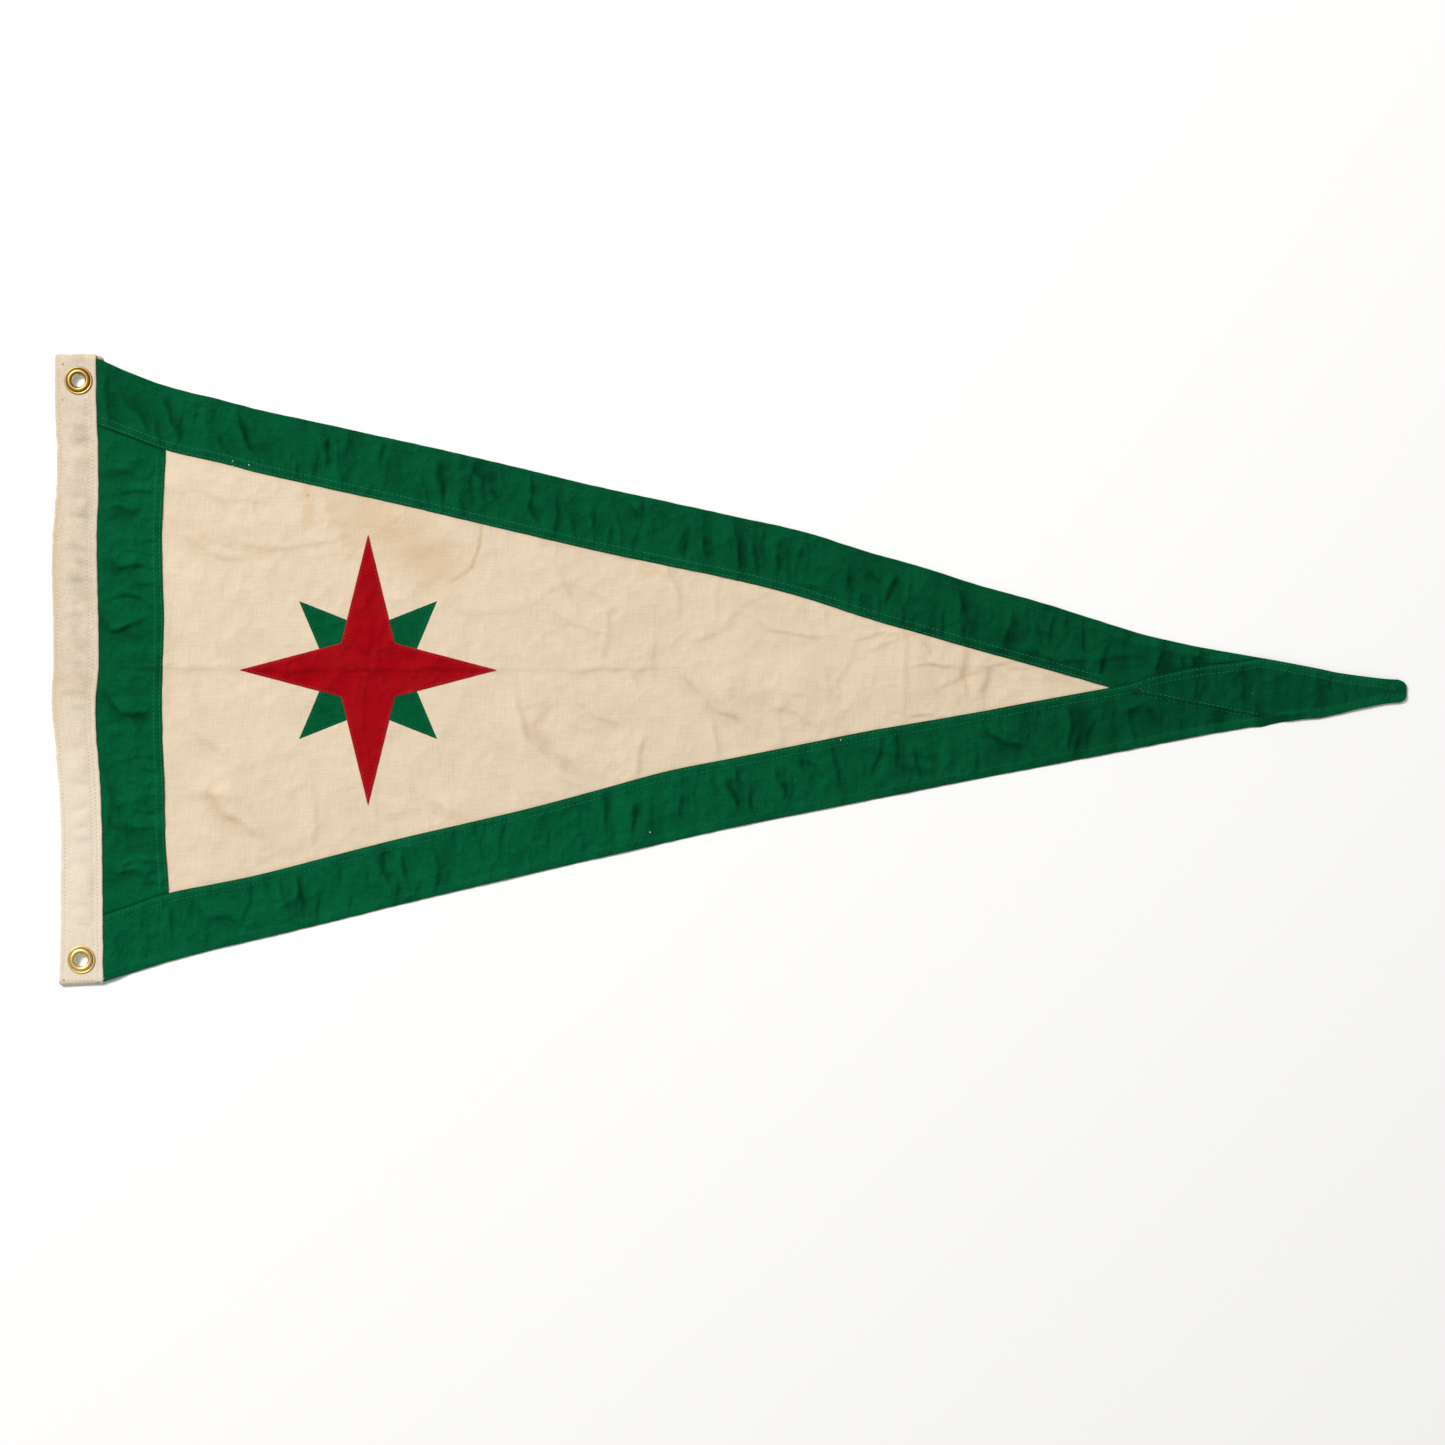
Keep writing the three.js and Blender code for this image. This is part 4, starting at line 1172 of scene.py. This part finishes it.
UPPER_COLUMNS, LOWER_COLUMNS, HOIST_COLUMNS = 640, 720, 270
green_cotton = dyed_cotton("green_cotton", GREEN, GREEN_DEEP, GREEN_FRAY, turn=STRIP_TURN)
green_thread = thread_material("green_thread", (0.012, 0.235, 0.125, 1), (0.005, 0.150, 0.070, 1))
HOIST_CELLS = (len(HOIST_ROWS[0]) - 1, HOIST_COLUMNS)
UPPER_CELLS = (UPPER_COLUMNS, len(UPPER_ROWS[0]) - 1)
LOWER_CELLS = (LOWER_COLUMNS, len(LOWER_ROWS[0]) - 1)
STRIPS = (
    ("hoist_strip", HOIST_CELLS, hoist_place, "hoist_border", (0.071, 0.362), 0.0238),
    ("upper_strip", UPPER_CELLS, upper_place, "upper_border", (0.064, 0.90), 0.0535),
    ("lower_strip", LOWER_CELLS, lower_place, "lower_border", (0.064, 1.01), 0.0600),
)
for name, cells, place, border, flat, area in STRIPS:
    strip = finish_mesh(name, grid_of_cloth(*cells, place), green_cotton)
    thicken(strip, LAYER)
    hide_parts(border)

# Felled seams and hems: green thread, about eight stitches to the inch, two rows on each seam and
# one on each hem, run straight through all the layers.
TIP_ROWS_END = 962.0
TIP_ROWS = (1.6, -1.4)  # from the edge of the upper strip's end


def beside_field(away):
    """A row of stitches up the strip beside the heading, that far in from the field."""
    y = np.arange(-150.0, 172.0, PATH_STEP)
    x = hoist_edge("field")(y) - away
    level = level_in(SEAM_ROWS, away)
    height, _ = strip_relief(x, y, ALONG)
    return np.stack([x, y, height + settled(level, x, y) + THREAD_LIFT], 1)


seam_rows = [beside_field(away) for away in SEAM_STITCHES]
seam_rows += lengthwise(upper_low, upper_edge, SEAM_ROWS, SEAM_STITCHES, "low", 2.0, TIP_START - 4)
seam_rows += lengthwise(lower_edge, lower_inner, SEAM_ROWS, SEAM_STITCHES, "high", 4.0, TIP_ROWS_END)
hem_rows = lengthwise(upper_low, upper_edge, HEM_ROWS, HEM_STITCHES, "high", 4.0, 846.0)
hem_rows += lengthwise(lower_edge, lower_inner, HEM_ROWS, HEM_STITCHES, "low", 5.0, TIP_ROWS_END)
x = np.arange(TIP_LINE["x"] + 2, UPPER_END, PATH_STEP)
for away in TIP_ROWS:
    y = tip_line(x) + away
    height, _ = strip_relief(x, y, UP)
    level = height + BODY_LEVEL + tip_rise(x, y) + THREAD_LIFT
    seam_rows.append(np.stack([x, y, level], 1))
hem_thread = thread_material("hem_thread", (0.004, 0.150, 0.068, 1), (0.002, 0.095, 0.040, 1))
seam_stitching = stitches("seam_stitching", seam_rows, green_thread, width=0.5)
hem_stitching = stitches("hem_stitching", hem_rows, hem_thread)

# Stitching round the star: a row of thread of the patch's own colour along each turned edge,
# run through the patch and the field below it.


def patch_rows(corners, level):
    """Rows of stitches along the two turned edges of a patch."""
    first, second, third, fourth = (Vector(corner) for corner in corners)
    middle = (second + fourth) / 2
    rows = []
    for start, end in ((second, third), (third, fourth)):
        run = (end - start).normalized()
        inward = Vector((-run.y, run.x))
        if inward.dot(middle - start) < 0:
            inward = -inward
        count = max(int((end - start).length / PATH_STEP), 3)
        trim = 2.2 * run
        first_spot, last_spot = start + trim * 0.6, end - trim
        spots = [first_spot.lerp(last_spot, n / count) + inward * PATCH_STITCHES
                 for n in range(count + 1)]
        x = np.array([spot.x for spot in spots]) + STAR[0]
        y = np.array([spot.y for spot in spots]) + STAR[1]
        height, _ = relief(x, y)
        rows.append(np.stack([x, y, height + level + 0.16], 1))
    return rows


red_thread = thread_material("red_thread", (0.60, 0.050, 0.055, 1), (0.46, 0.015, 0.020, 1))
red_rows = [row for n in range(4) for row in patch_rows(red_corners(n), RED_LEVEL)]
green_rows = [row for n in range(4) for row in patch_rows(green_corners(n), GREEN_PATCH_LEVEL)]
for name, rows, thread, slot in (
    ("star_red_stitching", red_rows, red_thread, "red_cotton"),
    ("star_green_stitching", green_rows, green_thread, "green_patch"),
):
    stitches(name, rows, thread, stitch=2.1, pitch=2.8, width=0.36)

# Heading: a fold of canvas, about an inch and a quarter wide, over the hoist ends of the strips,
# sewn through with rows of thread. It lies in soft puffs between the creases across it.
CANVAS = 0.8  # thickness
HEADING_TOP = 246.0
HEADING_LOW = (-220.5, -219.0)
HEADING_HEIGHT = 3.6  # both legs and what lies between them
PUFF_SHARE, PUFF_MOST = 0.07, 1.1
HEADING_CREASES = (
    -173, -162, -130, -114.5, -104.5, -90.5, -71.5, -45, -16, -4, 6.5,
    16.5, 50.5, 61.5, 79, 92.5, 102.5, 127, 141, 151, 180.5, 191.5, 204,
)
HEADING_GRID = (52, 300)
BACK_CORNER = {"from": 240.0, "to": 245.0, "reach": 4.8}
HOLE_CLEAR = 7.6  # the canvas ends there, under the eyelet and its washer
ROW_CLEAR = 11.5  # the rows of stitches stop there, short of the eyelets
LOWER_EYELET = (-12.6, -201.7)
CANVAS_COLOUR = (0.640, 0.535, 0.415, 1)
# CANVAS_GREY is painted shade in the heading's creases and grey smudges of dirt.
CANVAS_GREY = (0.43, 0.395, 0.325, 1)
CANVAS_TAN = (0.58, 0.43, 0.26, 1)
CANVAS_PALE = (0.86, 0.77, 0.64, 1)
DARK_SPECK = (0.13, 0.09, 0.06, 1)
HEADING_STAINS = table(
    "x1 y1 x2 y2 half ragged strength speck",
    (-33, 6, -8, 4, 6.5, 3, 0.42, 0), (-26, -4, -8, -7, 5.5, 3, 0.38, 0),
    # This mark is painted shade on the corner of the back leg that shows at the top, not a stain.
    (0.5, 243, 5, 240, 4, 3, 0.75, 0),
    (-31, 244.5, 0, 245, 1.6, 2, 0.30, 0), (-26.4, 238.8, -26, 238.4, 1.0, 0.6, 0.8, 1),
    (-26.6, 212.4, -26.4, 212, 0.8, 0.5, 0.8, 1), (-25.9, -216.8, -25.4, -217, 1.1, 0.7, 0.85, 1),
    (-28.9, -218.3, -28.5, -218.3, 0.9, 0.5, 0.8, 1), (-14, -175, -6, -176, 2.0, 3, 0.35, 0),
)


def puffs(x, y):
    """Swell of the canvas between its creases, and the shade that lies in them."""
    warped = y + 2.6 * ripple(x, y, 15.0, 21.0)
    swell, shade = np.zeros_like(y), np.zeros_like(y)
    for n, (start, end) in enumerate(zip(HEADING_CREASES, HEADING_CREASES[1:])):
        t = (warped - start) / (end - start)
        inside = (t > 0) & (t < 1)
        tall = min(PUFF_SHARE * (end - start), PUFF_MOST) * (0.75 + 0.35 * math.sin(2.3 * n))
        swell += np.where(inside, tall * np.sin(np.pi * np.clip(t, 0, 1)) ** 0.8, 0)
        away = np.minimum(np.abs(warped - start), np.abs(warped - end))
        shade += np.where(inside, np.exp(-(away / 2.6) ** 2) * min(tall, 0.5) / 0.5, 0)
    return swell, shade


def middle_of_heading(x, left, right):
    """From 0 along both edges of the heading, where it is sewn flat, to 1 between them."""
    return smooth(x - left, 5.0, 16.0) * smooth(right - x, 4.5, 12.0)


def heading_edges(y):
    """The folded edge of the heading and the one at the seam; the puffs draw the fold out."""
    swell, _ = puffs(np.zeros_like(y), y)
    left = hoist_edge("heading")(y) - 0.5 * swell + 0.45 * ripple(y, y, 5.0, 22.0)
    right = hoist_edge("seam")(y) + 0.35 * ripple(y, y, 11.0, 23.0)
    return left, right


def heading_rise(x, y, left, right):
    """How far the canvas stands up in its puffs, and the painted shade in its creases."""
    swell, dirt_and_shade = puffs(x, y)
    over = middle_of_heading(x, left, right)
    return swell * over + 0.16 * ripple(x, y, 8.0, 24.0) + 0.10 * ripple(x, y, 3.5, 25.0), dirt_and_shade


def heading_place(u, v):
    """Round the fold of the canvas: back leg, fold, front leg, and its edge turned in."""
    back, fold, edge = 0.16, 0.34, 0.93
    y = HEADING_LOW[0] + (HEADING_TOP - HEADING_LOW[0]) * v
    left, right = heading_edges(y)
    end = np.sqrt(np.clip(1 - ((np.abs(v - 0.5) - 0.494) / 0.006).clip(0, 1) ** 2, 0, 1))
    left, right = left + 0.9 * (1 - end), right - 0.5 * (1 - end)
    lift = end_lift(y)
    inner = CANVAS / 2 + 0.1
    outer = HEADING_HEIGHT - CANVAS / 2 - 0.1
    half = (outer - inner) / 2
    corner = smooth(y, BACK_CORNER["from"] - 2, BACK_CORNER["from"] + 1)
    corner = corner * (1 - smooth(y, BACK_CORNER["to"] - 1, HEADING_TOP))
    x, z = np.zeros_like(y), np.zeros_like(y)
    on_back, on_fold = u <= back, (u > back) & (u < fold)
    on_front, on_edge = (u >= fold) & (u <= edge), u > edge
    share = np.clip(u / back, 0, 1)
    start = right - 1.0 + (BACK_CORNER["reach"] + 1.0) * corner
    x = np.where(on_back, start + (left + half - start) * share, x)
    z = np.where(on_back, inner, z)
    angle = -np.pi / 2 - np.pi * np.clip((u - back) / (fold - back), 0, 1)
    x = np.where(on_fold, left + half + half * np.cos(angle), x)
    z = np.where(on_fold, inner + half + half * np.sin(angle), z)
    share = np.clip((u - fold) / (edge - fold), 0, 1)
    x = np.where(on_front, left + half + (right - 0.4 - left - half) * share, x)
    turn = np.clip((u - edge) / (1 - edge), 0, 1) * np.pi * 0.62
    x = np.where(on_edge, right - 0.4 + 0.42 * np.sin(turn), x)
    rise, dirt_and_shade = heading_rise(x, y, left, right)
    dips = 0.14 * np.exp(-((x - left - FOLD_STITCHES) / 0.7) ** 2)
    dips = dips + sum(
        0.14 * np.exp(-((right - x - away) / 0.7) ** 2) for away in SEAM_SIDE_STITCHES
    )
    z = np.where(on_front, outer + rise - dips, z)
    z = np.where(on_edge, outer + rise - 0.55 * (1 - np.cos(turn)), z)
    z = inner + (z - inner) * (0.23 + 0.77 * end)
    slant = (x - left) / np.maximum(right - left, 1)
    y = y + (HEADING_LOW[1] - HEADING_LOW[0]) * slant * smooth(-y, 200, 220)
    # Painted shade in the creases between the puffs, in broken patches, with grey smudges of dirt
    # over it, both most a little right of the middle.
    dirt_and_shade = dirt_and_shade * (0.10 + 0.90 * smooth(ripple(0.5 * x, y, 9.0, 26.0), -0.35, 0.45))
    grey = (0.18 + 0.32 * smooth(y, -40, 30)) * smooth(ripple(x, y, 13.0, 27.0), -0.3, 0.4)
    dirt_and_shade = dirt_and_shade * (0.80 + 0.15 * smooth(y, -60, 20)) + grey
    dirt_and_shade = dirt_and_shade * np.exp(-((slant - 0.60) / 0.25) ** 2)
    y = y + 0.5 * smooth(v, 0.97, 1.0) * ripple(x, x, 9.0, 28.0)
    return x, y, z + lift, np.clip(dirt_and_shade, 0, 1) * (on_front | on_back)


CANVAS_FACE = HEADING_HEIGHT - 0.1
HEADING_STEP = 1.1  # between the points of a row of its stitches
FOLD_STITCHES = 3.0  # in from the fold
SEAM_SIDE_STITCHES = (3.6, 6.9)  # in from the edge beside the green strips


def natural_canvas():
    material, tree, shader = new_material("heading_canvas", 0.93)
    place = object_place(tree)
    axes = node(tree, "ShaderNodeSeparateXYZ", {0: place})
    cloth = woven(tree, place, 0.0010, 0.0010, 0.006)
    colour = tinted(tree, CANVAS_COLOUR, CANVAS_PALE, cloth["Tone"], 0.5)
    patches = mottled(tree, place, 0.016, 2.6)
    colour = tinted(tree, colour, CANVAS_TAN, patches, 0.22)
    # The heading's painted crease shade and grey smudges of dirt, broken up, in grey.
    soil_and_shade = attribute(tree, "soil_and_shade")
    greyed = mottled(tree, place, 0.02, 2.0)
    greyed = ranged(tree, greyed, 0.0, 1.0, 0.45, 1.0)
    grey = node(tree, "ShaderNodeMath", {0: soil_and_shade, 1: greyed}, operation="MULTIPLY").outputs[0]
    colour = tinted(tree, colour, CANVAS_GREY, grey, 0.85)
    fold_edge = ranged(tree, axes.outputs["X"], -0.4995, -0.4915, 0.42, 0.0)
    colour = mix(tree, fold_edge, colour, CANVAS_TAN)
    lower = ranged(tree, axes.outputs["Y"], -0.09, 0.0, 0.45, 0.0)
    colour = mix(tree, lower, colour, CANVAS_PALE)
    colour = stained(tree, colour, place, HEADING_STAINS,
                     lambda row: DARK_SPECK if row["speck"] else CANVAS_TAN)
    tree.links.new(colour, shader.inputs["Base Color"])
    set_bump(tree, shader, cloth["Height"], 0.35, 0.0002)
    return material


bm = grid_of_cloth(*HEADING_GRID, heading_place)
holes = [face for face in bm.faces if min(
    math.dist(face.calc_center_median()[:2], eyelet) for eyelet in (UPPER_EYELET, LOWER_EYELET)
) < HOLE_CLEAR]
bmesh.ops.delete(bm, geom=holes, context="FACES")
heading = finish_mesh("heading_canvas", bm, natural_canvas())
thicken(heading, CANVAS)
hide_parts("heading")


def heading_row(away, from_seam):
    """A row of stitches up the heading, with its height over the canvas."""
    y = np.arange(-212.0, 240.0, HEADING_STEP)
    left, right = heading_edges(y)
    x = right - away if from_seam else left + away
    rise, _ = heading_rise(x, y, left, right)
    z = CANVAS_FACE + rise - 0.16 + end_lift(y)
    from_eyelets = [np.hypot(x - ex, y - ey) for ex, ey in (UPPER_EYELET, LOWER_EYELET)]
    clear = np.min(from_eyelets, 0) > ROW_CLEAR
    path = np.stack([x, y, z], 1)
    cuts = np.flatnonzero(np.diff(clear.astype(int))) + 1
    parts = zip(np.split(path, cuts), np.split(clear, cuts))
    return [part for part, keep in parts if keep[0] and len(part) > 6]


def across_heading(y, start, end, lift):
    x = np.arange(start, end, HEADING_STEP)
    return np.stack([x, np.full_like(x, y), np.full_like(x, CANVAS_FACE + lift)], 1)


def needle_marks(rows, pitch, half):
    """A short dash across each row where the needle went down, between its stitches."""
    dashes = []
    for path in rows:
        run = run_along(path)
        for place in np.arange(pitch, run[-1] - pitch, pitch):
            x, y, z = (np.interp(place, run, path[:, n]) for n in range(3))
            ends = (-half, 0.0, half)
            dashes.append(np.array([(x + end, y + 0.12 * end, z - 0.05) for end in ends]))
    return dashes


cream_thread = thread_material("cream_thread", (0.82, 0.70, 0.55, 1), (0.76, 0.62, 0.46, 1))
tan_thread = thread_material("tan_thread", (0.44, 0.29, 0.17, 1), (0.60, 0.44, 0.30, 1))
HEADING_PITCH = 2.9
heading_rows = heading_row(FOLD_STITCHES, False)
for away in SEAM_SIDE_STITCHES:
    heading_rows += heading_row(away, True)
heading_rows.append(across_heading(-216.9, -25.0, 1.0, END_LIFT))
heading_stitching = stitches("heading_stitching", heading_rows, cream_thread,
                             stitch=2.1, pitch=HEADING_PITCH, width=0.5)
marks = needle_marks(heading_rows, HEADING_PITCH, 0.9)
heading_marks = stitches("heading_needle_marks", marks, tan_thread,
                         stitch=1.7, pitch=1.7, width=0.62)

# Eyelets: two of brass, each pushed up through the canvas and rolled over a brass washer. The
# brass has aged brown in the groove between them and is rubbed bright on the roll.
RIM_STEPS = 72
BORE, BARREL, ROLL, FLANGE = 4.75, 5.45, 8.5, 10.3
WASHER_FOOT, WASHER_TOP, ROLL_FOOT, ROLL_TOP = 4.45, 5.3, 5.55, 6.6
CLEAN_BRASS = (0.97, 0.92, 0.80, 1)
THROAT_END = 4.8  # the barrel is rubbed clean inside this distance
# How brown the brass is, at some distances out from the middle of an eyelet
AGEING = (
    (4.4, 0.75), (6.9, 0.10), (5.9, 0.85), (6.4, 0.15),
    (7.6, 0.25), (8.2, 0.75), (8.9, 0.75), (9.4, 0.0),
)


def arc(middle, radius, start, end, steps):
    """Points on part of a circle, its angles in degrees."""
    angles = [math.radians(start + (end - start) * n / steps) for n in range(steps + 1)]
    (x, y), (across, up) = middle, radius
    return [(x + across * math.cos(angle), y + up * math.sin(angle)) for angle in angles]


def spun(profile, place):
    """A ring turned from a closed profile of distances out and heights."""
    bm = bmesh.new()
    points = [bm.verts.new((place[0] + out, place[1], up)) for out, up in profile]
    edges = [bm.edges.new(pair) for pair in zip(points, points[1:] + points[:1])]
    bmesh.ops.spin(bm, geom=points + edges, cent=(*place, 0), axis=(0, 0, 1),
                   angle=math.tau, steps=RIM_STEPS, use_merge=True)
    bmesh.ops.recalc_face_normals(bm, faces=bm.faces)
    return bm


def brass(name, centre, bright, dull, brown):
    """Brass, brown in its grooves, bright on the roll and the rim, and clean in the barrel."""
    material, tree, shader = new_material(name, 0.35, metallic=1.0)
    place = object_place(tree)
    worn = mottled(tree, place, 0.0030, 2.4)
    rubbed = mix(tree, worn, bright, dull)
    flat = vector_node(tree, "MULTIPLY", place, (1, 1, 0))
    out = node(tree, "ShaderNodeVectorMath", {0: flat, 1: row_place(*centre)}, operation="DISTANCE")
    rings = node(tree, "ShaderNodeValToRGB", {
        "Fac": math_node(tree, "DIVIDE", out.outputs["Value"], FLANGE / 1000)})
    stops = rings.color_ramp.elements
    all_stops = [stops[0], stops[1]] + [stops.new(0.5) for _ in AGEING[2:]]
    for stop, (far, shade) in zip(all_stops, AGEING):
        stop.position, stop.color = far / FLANGE, (shade, shade, shade, 1)
    past = ranged(tree, out.outputs["Value"], THROAT_END / 1000, (THROAT_END + 0.1) / 1000)
    colour = mix(tree, past, CLEAN_BRASS, mix(tree, rings.outputs["Color"], rubbed, brown))
    tree.links.new(colour, shader.inputs["Base Color"])
    rough = ranged(tree, worn, 0.0, 1.0, 0.32, 0.48)
    tree.links.new(rough, shader.inputs["Roughness"])
    dents = node(tree, "ShaderNodeTexNoise", {"Vector": place, "Scale": 500.0, "Detail": 1.0})
    set_bump(tree, shader, dents.outputs["Fac"], 0.06, 0.0002)
    return material


aged_brass = brass("aged_brass", UPPER_EYELET,
                   (0.66, 0.42, 0.14, 1), (0.48, 0.29, 0.08, 1), (0.24, 0.13, 0.03, 1))
bright_brass = brass("bright_brass", LOWER_EYELET,
                     (1.0, 0.82, 0.36, 1), (0.95, 0.70, 0.26, 1), (0.62, 0.42, 0.13, 1))
middle_of_roll = ((ROLL + BORE) / 2 + 0.1, ROLL_FOOT)
roll_half = ((ROLL - BORE) / 2 - 0.1, ROLL_TOP - ROLL_FOOT)
EYELET_PROFILE = (
    [(BORE + 0.5, 0.0), (FLANGE - 0.3, 0.0)]
    + arc((FLANGE - 0.3, 0.3), (0.3, 0.3), -60, 60, 4)
    + [(BARREL + 0.3, 0.6), (BARREL, 0.9), (BARREL, ROLL_FOOT - 0.1), (BARREL + 0.4, ROLL_FOOT)]
    + arc(middle_of_roll, roll_half, 0, 165, 14)
    + [(BORE, ROLL_FOOT - 0.6), (BORE, 0.6), (BORE + 0.12, 0.2)]
)
WASHER_PROFILE = (
    [(BARREL + 0.5, WASHER_FOOT + 0.2), (FLANGE - 0.35, WASHER_FOOT)]
    + arc((FLANGE - 0.35, WASHER_FOOT + 0.35), (0.35, 0.45), -40, 90, 6)
    + [(FLANGE - 0.9, WASHER_TOP - 0.02), (FLANGE - 1.5, WASHER_TOP - 0.16),
       (ROLL - 0.1, WASHER_TOP - 0.42), (BARREL + 0.5, WASHER_TOP - 0.42)]
)
for name, place, metal in (
    ("upper", UPPER_EYELET, aged_brass), ("lower", LOWER_EYELET, bright_brass),
):
    for kind, profile in (("eyelet", EYELET_PROFILE), ("washer", WASHER_PROFILE)):
        ring = finish_mesh(f"{kind}_{name}_brass", spun(profile, place), metal)
        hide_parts(f"{kind}_{name}")

# Loose ends: a snarl of thread where the strips meet at the tip, a frayed cream end below the
# heading, and bits of pale lint caught in the green cloth.
SNARL = (766.6, -3.4)
LINT = (
    (99.2, 167.2), (111.0, 164.3), (99.2, 163.5), (407.7, -107.3), (549.0, -39.2), (854.0, -4.7),
)
chance = random.Random(12)


def tangle(middle, count, spread, level, length):
    """Short bits of thread that lie over one another around a place."""
    rows = []
    for _ in range(count):
        turn, tilt = chance.uniform(0, math.tau), chance.uniform(-0.25, 0.25)
        x = middle[0] + chance.uniform(-spread, spread)
        y = middle[1] + chance.uniform(-spread, spread) * 0.6
        away = np.array([-0.5, 0.0, 0.5]) * length
        rows.append(np.stack([x + away * math.cos(turn), y + away * math.sin(turn),
                              level + tilt * away + chance.uniform(0, 0.5)], 1))
    return rows


def top_of(x, y, level):
    height, _ = strip_relief(np.array([x]), np.array([y]), UP)
    return float(height[0]) + level


snarl_rows = tangle(SNARL, 30, 2.2, top_of(*SNARL, 1.9), 3.4)
dark_thread = thread_material("dark_thread", (0.0010, 0.030, 0.012, 1), (0.0020, 0.060, 0.026, 1))
snarl = stitches("thread_snarl", snarl_rows, dark_thread, stitch=3.0, pitch=3.2, width=0.5)
lint_rows = []
for x, y in LINT:
    lint_rows += tangle((x, y), 2, 0.2, top_of(x, y, 1.2), 2.2)
frayed = [(1.6, -216.4), (3.4, -215.2), (5.0, -215.6)]
x, y = np.array(frayed).T
lint_rows.append(np.stack([x, y, np.full_like(x, 3.9)], 1))
pale_thread = thread_material("pale_thread", (0.80, 0.74, 0.58, 1), (0.70, 0.62, 0.44, 1))
lint = stitches("lint", lint_rows, pale_thread, stitch=1.5, pitch=1.7, width=0.5)
